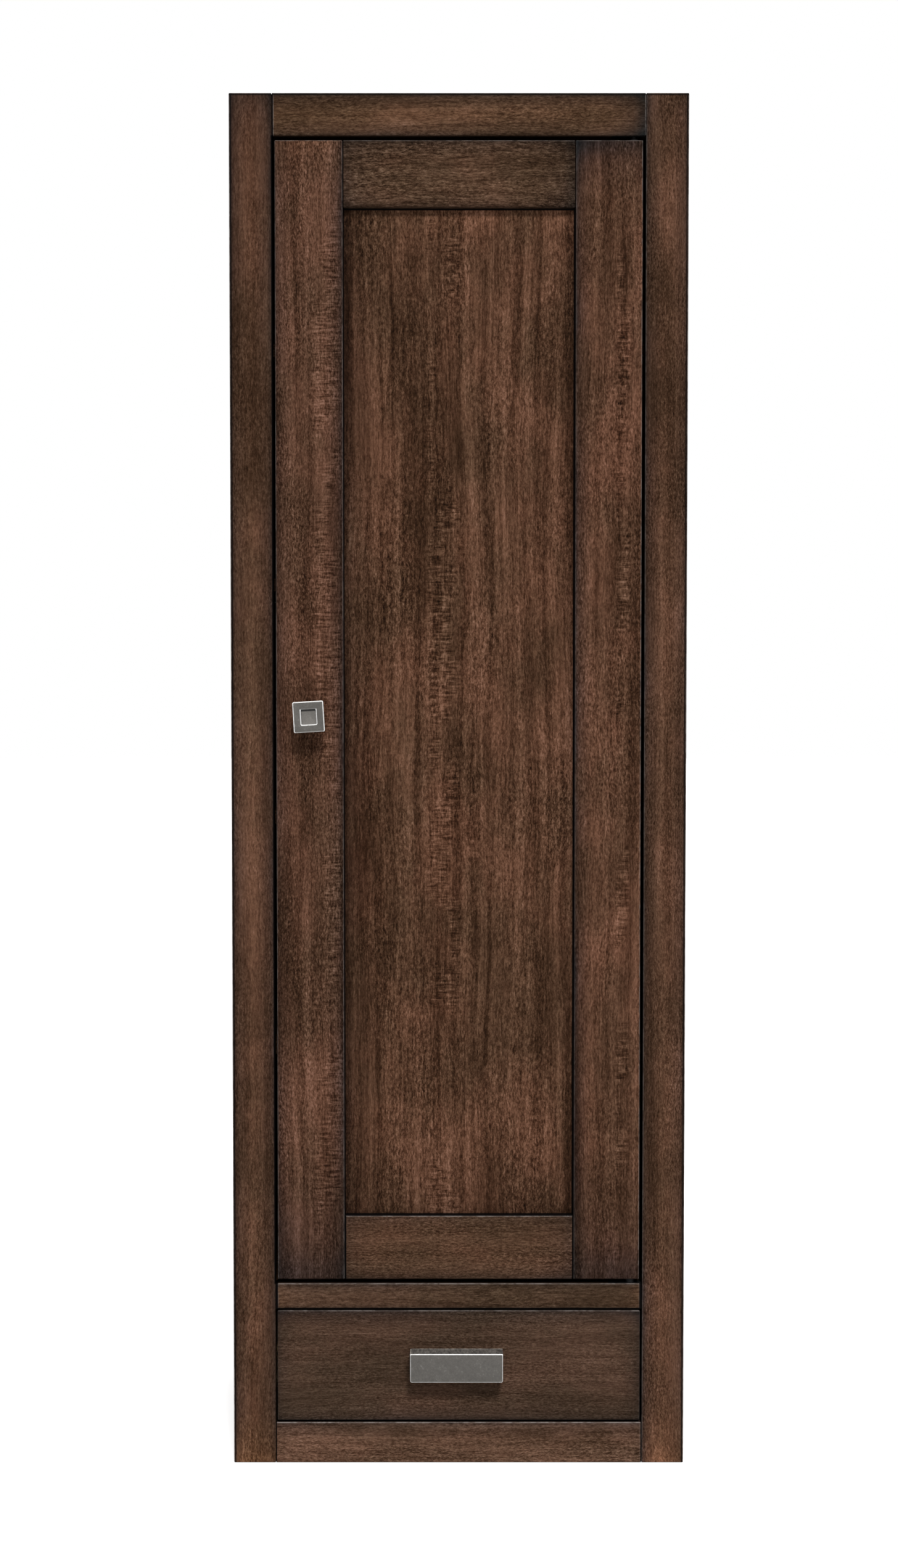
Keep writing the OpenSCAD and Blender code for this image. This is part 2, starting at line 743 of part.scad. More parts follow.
module catch_housings() color([0.45, 0.31, 0.20]) for (upper = [0, 1]) difference() {
    tall = upper ? catch_h : catch_h + door_end_gap;
    at_catch(upper) translate([catch_x - catch_w / 2, -catch_d / 2, 0]) cube([catch_w, catch_d, tall]);
    magnet_shape(strike_levels[upper]);
    catch_screw_set(upper, fit);
    at_catch(upper) for (x = catch_screw_xs) translate([x, 0, catch_seat])
        cylinder(d = catch_screw[2] + 2 * head_room, h = tall);
}

module catch_magnets() color([0.25, 0.25, 0.27]) for (z = strike_levels) magnet_shape(z);

module catch_screws() color(zinc) for (upper = [0, 1]) catch_screw_set(upper, driven = true);

module strike_screw_set(grow = 0, driven = false) {
    for (z = strike_levels) translate([catch_x, door_back_y + strike_t, z + catch_h / 2]) face_back()
        if (driven) flat_screw_driven(strike_screw);
        else flat_screw(strike_screw, grow);
}

module strike_plates() color(zinc) difference() {
    for (z = strike_levels) translate([catch_x - magnet_w / 2 - 3, door_back_y, z])
        cube([magnet_w + 6, strike_t, catch_h]);
    strike_screw_set(fit);
}

module strike_screws() color(zinc) strike_screw_set(driven = true);

// Knob: a square head with a sunk square, on a square neck and a square foot

module door_knob() color(pewter) translate([knob_x, front_y, knob_z])
    rotate([0, -knob_turn, 0]) difference() {
    union() {
        translate([0, -knob_reach, 0]) chamfered_block(knob_w, knob_head_t, knob_w, knob_bevel);
        translate([-knob_neck_w / 2, -knob_reach + knob_head_t / 2, -knob_neck_w / 2])
            cube([knob_neck_w, knob_reach - knob_head_t / 2, knob_neck_w]);
        translate([0, -knob_foot_t, 0]) chamfered_block(knob_foot_w, knob_foot_t, knob_foot_w, 1);
    }
    translate([-knob_recess_w / 2, -knob_reach - cut, -knob_recess_w / 2])
        cube([knob_recess_w, knob_recess_d + cut, knob_recess_w]);
    translate([0, -knob_reach, 0]) mirror([0, 1, 0]) translate([0, -knob_recess_rim, 0])
        flared_mouth(knob_recess_w, knob_recess_rim);
    translate([0, -knob_reach + knob_head_t, 0]) rod_y(knob_screw_dia + 2 * fit, knob_reach);
}

module door_knob_screw() color(zinc) translate([knob_x, door_back_y, knob_z]) face_back()
    pan_screw([knob_screw_dia, door_t + knob_reach - knob_head_t - tip_room,
        machine_head_dia, machine_head_h]);

// Drawer

module drawer_bottom_shape() translate([-box_half + box_t - box_groove_d, box_y0 + box_t - box_groove_d,
    box_z0 + box_bottom_lift])
        cube([2 * (box_half - box_t + box_groove_d), box_d - 2 * (box_t - box_groove_d), box_bottom_t]);

// The dovetail pins of one corner: end = 0 at the front of the box, 1 at its back.
// They narrow towards the outside of the box and fill the sockets between the tails.
module corner_pins(end) {
    step = box_h / tail_count;
    flare = tail_slope * box_t;
    translate([box_half - box_t, end ? box_y1 : box_y0, box_z0]) mirror([0, end, 0]) intersection() {
        rotate([90, 0, 90]) linear_extrude(box_t) for (k = [0:tail_count]) translate([0, k * step])
            polygon([[0, -pin_w / 2], [0, pin_w / 2],
                [box_t, pin_w / 2 + flare], [box_t, -pin_w / 2 - flare]]);
        cube([box_t, box_t, box_h]);
    }
}

module drawer_right_side() color(raw_wood) difference() {
    translate([box_half - box_t, box_y0, box_z0]) cube([box_t, box_d, box_h]);
    for (end = [0, 1]) corner_pins(end);
    drawer_bottom_shape();
    inner_slide_screws(false);
}

module drawer_left_side() mirror([1, 0, 0]) drawer_right_side();

module box_end(end) difference() {
    union() {
        translate([-box_half + box_t, end ? box_y1 - box_t : box_y0, box_z0])
            cube([2 * (box_half - box_t), box_t, box_h]);
        both_sides() corner_pins(end);
    }
    drawer_bottom_shape();
}

module drawer_box_front() color(raw_wood) difference() {
    box_end(0);
    pull_screw_holes();
    face_screw_set(fit);
}

module drawer_back() color(raw_wood) box_end(1);

module drawer_bottom() color(raw_wood) drawer_bottom_shape();

module drawer_face() color(stain) difference() {
    translate([-drawer_face_w / 2, front_y, drawer_z])
        eased_board([drawer_face_w, drawer_face_t, drawer_face_h]);
    pull_screw_holes();
    face_screw_set(fit);
}

module face_screw_set(grow = 0, driven = false) {
    for (x = face_screw_xs, z = face_screw_zs) translate([x, box_y0 + box_t, z]) face_back()
        if (driven) flat_screw_driven(face_screw);
        else flat_screw(face_screw, grow);
}

module face_screws() color(zinc) face_screw_set(driven = true);

module pull_screw_holes() for (s = [-1, 1]) translate([pull_x + s * pull_pitch / 2, front_y - cut, pull_z])
    rod_y(pull_screw_dia + 2 * fit, drawer_face_t + box_t + 2 * cut);

// The cup pull is one casting: a box that is open below, with two posts inside that take its screws
module drawer_pull() color(pewter) translate([pull_x, front_y, pull_z - pull_h / 2]) difference() {
    union() {
        translate([-pull_w / 2, 0, 0]) difference() {
            translate([0, -pull_reach, 0]) eased_board([pull_w, pull_reach, pull_h], pull_arris_r);
            translate([pull_t, -pull_reach + pull_t, -cut])
                cube([pull_w - 2 * pull_t, pull_reach, pull_h - pull_t + cut]);
        }
        for (s = [-1, 1]) translate([s * pull_pitch / 2, -pull_reach + pull_t / 2, pull_h / 2])
            rod_y(pull_post_dia, pull_reach - pull_t / 2);
    }
    for (s = [-1, 1]) translate([s * pull_pitch / 2, -pull_reach + pull_t, pull_h / 2])
        rod_y(pull_screw_dia + 2 * fit, pull_reach);
}

module pull_screws() color(zinc) for (s = [-1, 1])
    translate([pull_x + s * pull_pitch / 2, box_y0 + box_t, pull_z]) face_back()
        pan_screw([pull_screw_dia, drawer_face_t + box_t + pull_reach - pull_t - tip_room,
            machine_head_dia, machine_head_h]);

// Ball-bearing drawer slides

// Places a slide's [u, y, v] frame on the right-hand cleat
module on_slide() translate([open_half, slide_y0, slide_z]) mirror([1, 0, 0]) children();

// The lips of a race on the upper flange of a channel, towards the balls at height ball_v
module race_lips(v, ball_v) translate([ball_u - race_half_w,
    ball_v > v ? v - slide_gauge / 2 : v - slide_gauge - race_rise])
        square([2 * race_half_w, slide_gauge / 2 + race_rise]);

// A channel along Y: its web lies at u0, its flanges reach to u1, and it has a race for each row of balls
module channel(u0, u1, v, l, ball_rows) {
    web_u = u1 > u0 ? u0 : u0 - slide_gauge;
    translate([0, l, 0]) rotate([90, 0, 0]) linear_extrude(l) difference() {
        union() {
            translate([web_u, -v]) square([slide_gauge, 2 * v]);
            for (m = [0, 1]) mirror([0, m, 0]) {
                translate([min(u0, u1), v - slide_gauge]) square([abs(u1 - u0), slide_gauge]);
                for (ball_v = ball_rows) race_lips(v, ball_v);
            }
        }
        for (side = [-1, 1], ball_v = ball_rows) translate([ball_u, side * ball_v])
            circle(d = ball_dia + 2 * race_play);
    }
}

module outer_slide_screws(driven) for (y = slide_screw_ys)
    translate([slide_gauge, y - slide_y0, 0]) face_right()
        if (driven) flat_screw_driven(slide_screw);
        else flat_screw(slide_screw, fit);

module inner_slide_screws(driven) on_slide() for (y = slide_screw_ys)
    translate([slide_t - slide_gauge, y - slide_y0, 0]) face_left()
        if (driven) pan_screw(drawer_slide_screw);
        else pan_screw_hole(drawer_slide_screw);

module slide_outer_members() color(zinc) both_sides() on_slide() difference() {
    channel(0, slide_t - outer_lip_gap, slide_h / 2, slide_l, [outer_ball_v]);
    outer_slide_screws(false);
}

module slide_outer_screws() color(zinc) both_sides() on_slide() outer_slide_screws(true);

module slide_middle_members() color(zinc) both_sides() on_slide() difference() {
    channel(slide_gauge + web_gap, slide_t - middle_lip_gap, middle_v, slide_l, [outer_ball_v, inner_ball_v]);
    for (share = [0.2, 0.8]) translate([0, share * slide_l, 0]) rod_x(driver_hole_dia, slide_t);
}

module slide_inner_members() color(zinc) both_sides() difference() {
    on_slide() channel(slide_t, 2 * slide_gauge + web_gap + inner_lip_gap, inner_v, slide_l, [inner_ball_v]);
    inner_slide_screws(false);
}

module slide_inner_screws() color(zinc) both_sides() inner_slide_screws(true);

// A row of balls in its cage, at height v in the slide
module ball_cage(v) translate([ball_u, cage_y0 - slide_y0, v]) {
    difference() {
        translate([-cage_w / 2, 0, -cage_t / 2]) cube([cage_w, cage_l, cage_t]);
        for (k = [1:ball_count]) translate([0, k * ball_pitch, -cage_t])
            cylinder(d = ball_dia + 2 * race_play, h = 2 * cage_t);
    }
    for (k = [1:ball_count]) translate([0, k * ball_pitch, 0]) sphere(d = ball_dia);
}

module outer_ball_cages() color(zinc) both_sides() on_slide() for (s = [-1, 1]) ball_cage(s * outer_ball_v);

module inner_ball_cages() color(zinc) both_sides() on_slide() for (s = [-1, 1]) ball_cage(s * inner_ball_v);

left_stile();
right_stile();
top_rail();
middle_rail();
bottom_rail();
left_side_panel();
right_side_panel();
top_panel();
deck_panel();
bottom_panel();
back_panel();
hanging_rail();
rear_base_rail();
door_stop_rail();
left_runner_cleat();
right_runner_cleat();
shelf(1);  // shelf_1
shelf(2);  // shelf_2
shelf(3);  // shelf_3
shelf(4);  // shelf_4
shelf_pins();
frame_dowels();
corner_blocks();
glides();
back_screws();
pivot_plates();
pivot_pins();
thrust_washer();
pivot_plate_screws();
catch_housings();
catch_magnets();
catch_screws();
slide_outer_members();
slide_outer_screws();
slide_middle_members();
outer_ball_cages();
inner_ball_cages();
door_knob_stile();
door_hinge_stile();
door_top_rail();
door_bottom_rail();
door_panel();
door_knob();
door_knob_screw();
pivot_bushes();
strike_plates();
strike_screws();
drawer_face();
drawer_box_front();
drawer_left_side();
drawer_right_side();
drawer_back();
drawer_bottom();
drawer_pull();
pull_screws();
face_screws();
slide_inner_members();
slide_inner_screws();
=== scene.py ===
# %% [markdown]
# A tower hutch in dark stained wood
#
# The real cupboard is a narrow tower. A face frame of flat boards surrounds one door and one drawer, both
# set in flush with it. The door has a square pewter knob and the drawer a cup pull of the same metal. Its
# construction comes in as a finished frame of boards and fittings, each a separate object at its real size
# and place. What is left for this lesson is what the eye meets first: the stain, the grain, the worn
# arrises, the cast metal and the light.
#
# Everything is in metres. X runs to the viewer's right, Y into the cupboard and Z up from the floor.

# %% Load the boards and fittings
import math
from collections import namedtuple
import bmesh
import bpy
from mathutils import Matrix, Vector


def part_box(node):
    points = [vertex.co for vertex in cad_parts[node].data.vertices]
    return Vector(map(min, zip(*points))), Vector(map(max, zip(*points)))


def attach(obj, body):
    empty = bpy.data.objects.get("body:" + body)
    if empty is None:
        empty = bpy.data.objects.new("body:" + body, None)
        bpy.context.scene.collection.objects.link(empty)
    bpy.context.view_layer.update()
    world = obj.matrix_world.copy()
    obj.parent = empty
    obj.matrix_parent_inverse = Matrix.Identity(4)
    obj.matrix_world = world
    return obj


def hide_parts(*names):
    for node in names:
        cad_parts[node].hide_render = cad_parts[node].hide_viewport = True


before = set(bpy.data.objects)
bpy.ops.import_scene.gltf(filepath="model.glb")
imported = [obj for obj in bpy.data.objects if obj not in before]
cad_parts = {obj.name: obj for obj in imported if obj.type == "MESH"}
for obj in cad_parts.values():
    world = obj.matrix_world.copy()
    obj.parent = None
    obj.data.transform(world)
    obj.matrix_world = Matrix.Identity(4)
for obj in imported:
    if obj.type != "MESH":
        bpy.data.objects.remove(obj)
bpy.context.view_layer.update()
MM = 0.001

# %% [markdown]
# Placing the camera
#
# The cupboard was photographed straight from the front, from about three metres, with the lens a little
# above the middle of the door and tipped down by two and a half degrees. The foot of the case therefore
# looks slightly narrower than its head. An orthographic camera could not show that, so this one has a real
# lens. Its focal length is worked out from the number of pixels that one metre takes at a distance of one
# metre.

# %% Camera
IMAGE_HEIGHT_PX = 2543
FOCAL_PX = 3628.6
CAMERA_DISTANCE = 2.998
CAMERA_X = -0.0131
CAMERA_Z = 1.0537
CAMERA_TIP = math.radians(2.474)

front_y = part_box("left_stile")[0].y
bpy.ops.object.camera_add(
    location=(CAMERA_X, front_y - CAMERA_DISTANCE, CAMERA_Z),
    rotation=(math.radians(90) - CAMERA_TIP, 0, 0),
)
camera = bpy.context.object
camera.data.lens = camera.data.sensor_width * FOCAL_PX / IMAGE_HEIGHT_PX
bpy.context.scene.camera = camera
bpy.context.scene.view_settings.view_transform = "Standard"
print(f"lens {camera.data.lens:.2f} mm")

# %% [markdown]
# Writing a shader as sums
#
# A finish is a tree of small nodes, and the maths in it is easier to read as an expression than as a list
# of links. Wire wraps one output of a node. Adding or multiplying wires adds a Math node behind the scenes,
# and the reflected forms let a plain number stand on the left, as in 1 - mask. Colours never go through a
# Math node, which would turn them grey: they use Mix and Vector Math.

# %% Wires
class Wire:
    """One output of a node, which can be used in sums."""

    def __init__(self, finish, socket):
        self.finish = finish
        self.socket = socket

    def math(self, operation, *others):
        return self.finish.node("ShaderNodeMath", {"operation": operation}, [self, *others])

    def __add__(self, other):
        return self.math("ADD", other)

    def __sub__(self, other):
        return self.math("SUBTRACT", other)

    def __rsub__(self, other):
        return self.finish.node("ShaderNodeMath", {"operation": "SUBTRACT"}, [other, self])

    def __mul__(self, other):
        return self.math("MULTIPLY", other)

    __radd__ = __add__
    __rmul__ = __mul__

    def lower(self, other):
        return self.math("MINIMUM", other)

    def higher(self, other):
        return self.math("MAXIMUM", other)

    def fade(self, start, end):
        """1 up to start, 0 from end on, and smooth in between. With start above end it rises instead."""
        low, high = min(start, end), max(start, end)
        ends = [1, 0] if start < end else [0, 1]
        return self.finish.node(
            "ShaderNodeMapRange", {"interpolation_type": "SMOOTHSTEP"}, [self, low, high, *ends]
        )


def linear(channel):
    """A screen channel, 0 to 255, as a linear value."""
    share = channel / 255
    return share / 12.92 if share <= 0.04045 else ((share + 0.055) / 1.055) ** 2.4


def srgb(red, green, blue):
    """A screen colour, 0 to 255 in each channel, as the shader's own values."""
    return (linear(red), linear(green), linear(blue), 1)


print(f"mid grey is {linear(128):.3f} to the shader")


# %% Finishes
class Finish:
    """A material that grows node by node on one Principled shader."""

    def __init__(self, name):
        self.material = bpy.data.materials.new(name)
        self.material.use_nodes = True
        self.tree = self.material.node_tree
        self.shader = self.tree.nodes["Principled BSDF"]
        self.place = self.node("ShaderNodeTexCoord", output="Object")
        split = self.node("ShaderNodeSeparateXYZ", inputs=[self.place]).socket.node
        self.axes = [Wire(self, socket) for socket in split.outputs]

    def node(self, kind, settings=None, inputs=None, output=0):
        """Adds one node: its settings first, then the values or links of its sockets."""
        made = self.tree.nodes.new(kind)
        for name, value in (settings or {}).items():
            if name == "stops":
                self.fill_ramp(made.color_ramp, value)
            else:
                setattr(made, name, value)
        sockets = inputs.items() if isinstance(inputs, dict) else enumerate(inputs or [])
        for key, value in sockets:
            if isinstance(value, Wire):
                self.tree.links.new(value.socket, made.inputs[key])
            else:
                made.inputs[key].default_value = value
        return Wire(self, made.outputs[output])

    def fill_ramp(self, ramp, stops):
        """Gives a colour ramp its positions and colours."""
        while len(ramp.elements) < len(stops):
            ramp.elements.new(0.5)
        for element, (position, colour) in zip(ramp.elements, stops):
            element.position = position
            element.color = colour

    def blend(self, share, first, second):
        """The first colour where share is 0, the second where it is 1."""
        settings = {"data_type": "RGBA", "clamp_factor": False}
        return self.node("ShaderNodeMix", settings, {0: share, 6: first, 7: second}, 2)

    def tint(self, colour, by):
        """A colour multiplied by another colour, or by a value."""
        return self.node("ShaderNodeVectorMath", {"operation": "MULTIPLY"}, [colour, by])

    def noise(self, place, scale, seed=0, detail=2, roughness=0.5):
        """Cloudy noise about 0.5. The scale is in clouds to the metre, along each axis of place."""
        shift = (7.13 * seed, 3.37 * seed, 5.71 * seed)
        placing = {"Vector": place, "Location": shift, "Scale": scale}
        stretched = self.node("ShaderNodeMapping", inputs=placing)
        inputs = {"Vector": stretched, "Scale": 1, "Detail": detail, "Roughness": roughness}
        return self.node("ShaderNodeTexNoise", inputs=inputs)

    def bump(self, height, strength, distance):
        """Lets a height tip the surface, which keeps its shape."""
        inputs = {"Height": height, "Strength": strength, "Distance": distance}
        self.surface({"Normal": self.node("ShaderNodeBump", inputs=inputs)})

    def surface(self, inputs):
        """Sets or links sockets of the Principled shader by name."""
        for name, value in inputs.items():
            if isinstance(value, Wire):
                self.tree.links.new(value.socket, self.shader.inputs[name])
            else:
                self.shader.inputs[name].default_value = value

    def dress(self, *pieces):
        """Puts the material on pieces, in place of what they had."""
        for piece in pieces:
            piece.data.materials.clear()
            piece.data.materials.append(self.material)


print("a finish grows from one Principled shader")

# %% [markdown]
# How the wood is built up
#
# The wood has short crinkled fibres a millimetre or two wide, longer fibres and streaks, broad ribbons where
# the grain leans one way and then the other, and soft blotches where the stain took unevenly. A picture of
# wood could be wrapped round each board, but it would smear on the edges. Solid noise, stretched along the
# grain, runs through the board as real fibres do, so face, edge and end grain belong together.
#
# Each layer is one noise. All but the blotches are read at a place that three wider noises have bent. The
# layers are added up as departures from a middle tone, and a colour ramp turns the sum into the stain's own
# colours. Where much stain stayed, the wood is not only darker but also less red, so the blotches turn the
# hue as well.

# %% Grain
def along_grain(finish, grain):
    """The place in the board as across, through and along its grain."""
    x, y, z = finish.axes
    return {"X": (z, y, x), "Y": (x, z, y), "Z": (x, y, z)}[grain]


def wood_layers(finish, grain, seed):
    """The crinkles, fibres, streaks and other layers of one board, each as noise about 0."""
    across, through, along = along_grain(finish, grain)
    straight = finish.node("ShaderNodeCombineXYZ", inputs=[across, through, along])
    sway = finish.noise(straight, (7, 7, 2.2), seed, 1)
    wave = finish.noise(straight, (38, 38, 17), seed + 1, 1)
    curl = finish.noise(straight, (180, 180, 90), seed + 2, 1)
    bent = across + 0.022 * (sway - 0.5) + 0.006 * (wave - 0.5) + 0.0028 * (curl - 0.5)
    place = finish.node("ShaderNodeCombineXYZ", inputs=[bent, through, along])
    layers = {
        "crinkle": finish.noise(place, (520, 520, 190), seed + 3, 2, 0.85),
        "fibre": finish.noise(place, (700, 700, 48), seed + 5, 2, 0.8),
        "streak": finish.noise(place, (420, 420, 8), seed + 6, 2, 0.7),
        "ribbon": finish.noise(place, (75, 75, 1.7), seed + 7, 2),
        "blotch": finish.noise(straight, (12, 12, 6), seed + 8, 3, 0.6),
        "vigour": finish.noise(place, (24, 24, 6), seed + 10, 1),
    }
    centred = {name: layer - 0.5 for name, layer in layers.items()}
    centred["straight"] = straight
    return centred


STAIN_RAMP = [
    (0.0, srgb(20, 11, 7)),
    (0.22, srgb(45, 28, 18)),
    (0.37, srgb(62, 42, 30)),
    (0.5, srgb(79, 56, 43)),
    (0.66, srgb(100, 74, 58)),
    (0.8, srgb(118, 89, 73)),
    (1.0, srgb(143, 113, 96)),
]
STAIN_MEAN = srgb(79, 56, 43)
COOL = (0.95, 1.015, 1.0, 1)
WARM = (1.05, 0.985, 0.97, 1)
SHADED = (0.0, 0.12, 0.3, 1)
BLACK = (0, 0, 0, 1)
WHITE = (1, 1, 1, 1)
# A pale grey for arrises: partly wear, partly painted highlight.
WEAR_AND_HIGHLIGHT = srgb(140, 131, 126)
# A near black: glaze in joints, and painted shade in gaps.
GLAZE_AND_SHADE = srgb(9, 7, 7)
print(f"stain from {len(STAIN_RAMP)} tones of brown")

# %% [markdown]
# Bars across the grain
#
# On the door's stiles and its panel, short dark bars lie across the grain in one upright band, where the
# fibres lean to and fro. They could be painted in, but a noise that is stretched sideways draws them by
# itself. It is shown near the middle of the band, and there only in places, because the real bars come and
# go.

# %% Figure across the grain
BAR_SCALE = (48, 48, 300)


def cross_figure(finish, layers, across, centre, half_width, seed):
    """The short bars that lie across the grain in one band of a board."""
    bars = finish.noise(layers["straight"], BAR_SCALE, seed + 11, 3, 0.7)
    reach = finish.noise(layers["straight"], (24, 24, 10), seed + 12, 1)
    band = (across - centre).math("ABSOLUTE").fade(0.45 * half_width, half_width)
    return (bars - 0.5) * band * reach.fade(0.56, 0.44)


print(f"bars about {1 / (BAR_SCALE[2] * MM):.1f} mm high")

# %% [markdown]
# Edges of the boards
#
# The stain was wiped on and lies darker towards the edges of every board. Black glaze has collected where
# two boards meet. The black lines along the door's and drawer's gaps and on side faces deep behind the front
# are painted shade, and the one along the top of the panel is partly painted shadow. Some free arrises carry
# a thin pale line, partly wear and partly painted highlight. All three depend on how far a point lies from
# the sides of its board, and the frame gives those sides. So each side of a board is described by five
# numbers: how dark its shade is, how wide its black line is in millimetres, how pale the line beside that
# is, how pale an outer arris is, which has its black line inside the pale one, and how many times further
# than usual the shade reaches. On an outer arris the pale line is a painted reflection and the black line
# inside it is painted shade. A shade below 0 makes the side lighter, as at the foot of the stiles. The shade
# takes more red than blue out of most boards.

# %% Sides of a board
Edge = namedtuple("Edge", "shade black pale outer reach", defaults=(0, 0, 0, 0, 1))
STEEP_SHADE = 0.28
STEEP_REACH = 9 * MM
GENTLE_SHADE = 0.42
GENTLE_REACH = 28 * MM
# The first blackens side faces deep behind the front as painted shade in the gaps; the second is painted
# shade inside the painted reflection on an outer arris.
GAP_SHADE_BLACK = 0.65
ARRIS_SHADE_BLACK = 0.85


def side_distances(finish, low, high):
    """How far a point lies from each side of its board."""
    x, y, z = finish.axes
    return {
        "left": x - low.x,
        "right": high.x - x,
        "bottom": z - low.z,
        "top": high.z - z,
        "front": y - low.y,
        "back": high.y - y,
    }


def most(masks):
    """The highest of several masks."""
    total = masks[0]
    for mask in masks[1:]:
        total = total.higher(mask)
    return total


def edge_shade(sides, edges, drift):
    """The share of light that the stain's darker edges leave."""
    share = None
    for side, edge in edges.items():
        if edge.shade:
            steep = STEEP_SHADE * edge.shade * sides[side].fade(0, STEEP_REACH * edge.reach)
            gentle = GENTLE_SHADE * edge.shade * sides[side].fade(0, GENTLE_REACH * edge.reach) * drift
            left = 1 - (steep + gentle)
            share = left if share is None else share * left
    return share


def edge_marks(finish, sides, edges, seed, lined):
    """Two masks for a board of the front: where it is black, from glaze at joints and painted shade at gaps,
    and where it is pale, from wear and painted highlight.
    """
    if lined:
        height, (bottom, top) = finish.axes[2], lined
        within = height.fade(bottom, bottom - MM) * height.fade(top, top + MM)
    wear_and_highlight_patches = finish.noise(finish.place, (60, 60, 60), seed + 13, 3, 0.7).fade(0.6, 0.4)
    at_face = sides["front"].fade(1.5 * MM, 2.5 * MM)
    black, pale = [], []
    for side, edge in edges.items():
        near = sides[side]
        if not edge.outer:
            # Side faces deep behind the front go black: painted shade in the gaps.
            deep = sides["front"].fade(5 * MM, 2.5 * MM)
            black.append(GAP_SHADE_BLACK * near.fade(0.8 * MM, 1.6 * MM) * deep)
        if edge.black:
            line = near.fade((edge.black - 0.4) * MM, (edge.black + 0.5) * MM)
            black.append(line * within if lined else line)
        # The pale line beside the black one is partly wear and partly painted highlight.
        if edge.pale:
            wear_and_highlight_line = near.fade((edge.black + 0.6) * MM, (edge.black + 1.4) * MM)
            pale.append(wear_and_highlight_line * at_face * edge.pale)
        # An outer arris gets a pale line of painted reflection, with a line of painted shade inside it.
        if edge.outer:
            pale.append(near.fade(0.9 * MM, 1.3 * MM) * at_face * edge.outer)
            inner_line = near.fade(2.6 * MM, 4 * MM) * near.fade(1.4 * MM, 0.9 * MM)
            black.append(ARRIS_SHADE_BLACK * inner_line * at_face)
    black = most(black)
    return black, most(pale) * (0.3 + 0.7 * wear_and_highlight_patches) * (1 - black) if pale else None


print(f"shades reach {GENTLE_REACH / MM:.0f} mm in from a side")


# %% Stained boards
def stained_board(
    node, grain, seed, mean, fibres=1.0, bands=1.0, ribbons=0.5,
    figure=None, visible=None, marked=True, shaded=SHADED, lined=None, **edges
):
    """Dresses one board in the dark stain, with its own grain, mean colour and edges.

    Fibres, bands and ribbons say how strong those layers are. Figure is the middle and half the width of a
    band of bars. Visible is the box that shows, where the board goes on into a groove. A marked board has
    black lines of glaze and painted shade and pale lines of wear and painted highlight, and its shade fades
    behind the front. Shaded is what a full shade leaves of each colour. Lined gives the heights between
    which the black lines run, where they stop short of the ends."""
    finish = Finish(f"{node}_stain")
    low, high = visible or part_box(node)
    layers = wood_layers(finish, grain, seed)
    fine = 1.6 * layers["crinkle"] * (1 + 1.8 * layers["vigour"])
    fine = fine + 0.9 * layers["fibre"] + 0.5 * layers["streak"]
    broad = 0.75 * bands * layers["blotch"] + ribbons * layers["ribbon"]
    tone = 0.5 + fibres * fine + broad
    if figure:
        across = along_grain(finish, grain)[0]
        tone = tone + 1.6 * cross_figure(finish, layers, across, *figure, seed)
    colour = finish.node("ShaderNodeValToRGB", {"stops": STAIN_RAMP}, [tone])
    hue = finish.blend(layers["blotch"].fade(0.16, -0.16), COOL, WARM)
    own = srgb(*mean)
    colour = finish.tint(finish.tint(colour, hue), [own[i] / STAIN_MEAN[i] for i in range(3)])
    sides = side_distances(finish, low, high)
    share = edge_shade(sides, edges, 1 + 2.5 * layers["blotch"])
    if marked:
        share = 1 - (1 - share) * (0.35 + 0.65 * sides["front"].fade(4 * MM, 14 * MM))
    colour = finish.tint(colour, finish.blend(share, shaded, WHITE))
    if marked:
        black, pale = edge_marks(finish, sides, edges, seed, lined)
        # Black: glaze at joints, painted shade along gaps. Pale: wear and painted highlight.
        colour = finish.blend(black, colour, GLAZE_AND_SHADE)
        colour = finish.blend(pale, colour, WEAR_AND_HIGHLIGHT) if pale else colour
    rough = 0.52 + 0.5 * layers["crinkle"] + 0.3 * layers["blotch"]
    finish.surface({"Base Color": colour, "Roughness": rough, "Specular IOR Level": 0.02})
    finish.bump(layers["crinkle"], 0.3, 0.4 * MM)
    finish.dress(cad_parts[node])


print("stained_board stacks fibres, bands, ribbons, shades and lines")

# %% [markdown]
# Dressing the face frame
#
# Two stiles run from foot to head, and three rails run between them. One material could serve for all five,
# but boards from different trees take the stain differently. So every board gets its own seed, which keeps
# any two from showing the same figure, and its own mean colour. The stiles run their grain upwards and the
# rails sideways. At most ends of a board the shade reaches further in than along its sides.

# %% Face frame
LONG = 2.2
door_opening = (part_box("middle_rail")[1].z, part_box("top_rail")[0].z)
# The black lines on the left stile's right, the right stile's left and the middle rail's bottom lie along
# the door's and drawer's gaps: painted shade.
stained_board(
    "left_stile", "Z", seed=3, mean=(82, 57, 43), fibres=0.57, bands=0.85, ribbons=0.4, lined=door_opening,
    left=Edge(0.9, outer=0.8), right=Edge(0.9, 1.4),
    bottom=Edge(-2, reach=2.8), top=Edge(0.5, outer=0.3, reach=3),
)
stained_board(
    "right_stile", "Z", seed=17, mean=(82, 57, 43), fibres=0.7, bands=1.1, ribbons=0.4,
    left=Edge(0.9, 0.4, pale=0.3), right=Edge(0.7, outer=0.8),
    bottom=Edge(-0.8, reach=3.4), top=Edge(0.2, outer=0.3, reach=LONG),
)
stained_board(
    "top_rail", "X", seed=29, mean=(83, 59, 43), fibres=0.65, bands=0.95, ribbons=0.3,
    left=Edge(0.05, 1.8, pale=0.4), right=Edge(1, 0.3, pale=0.6, reach=LONG),
    bottom=Edge(0.7), top=Edge(1, outer=0.3),
)
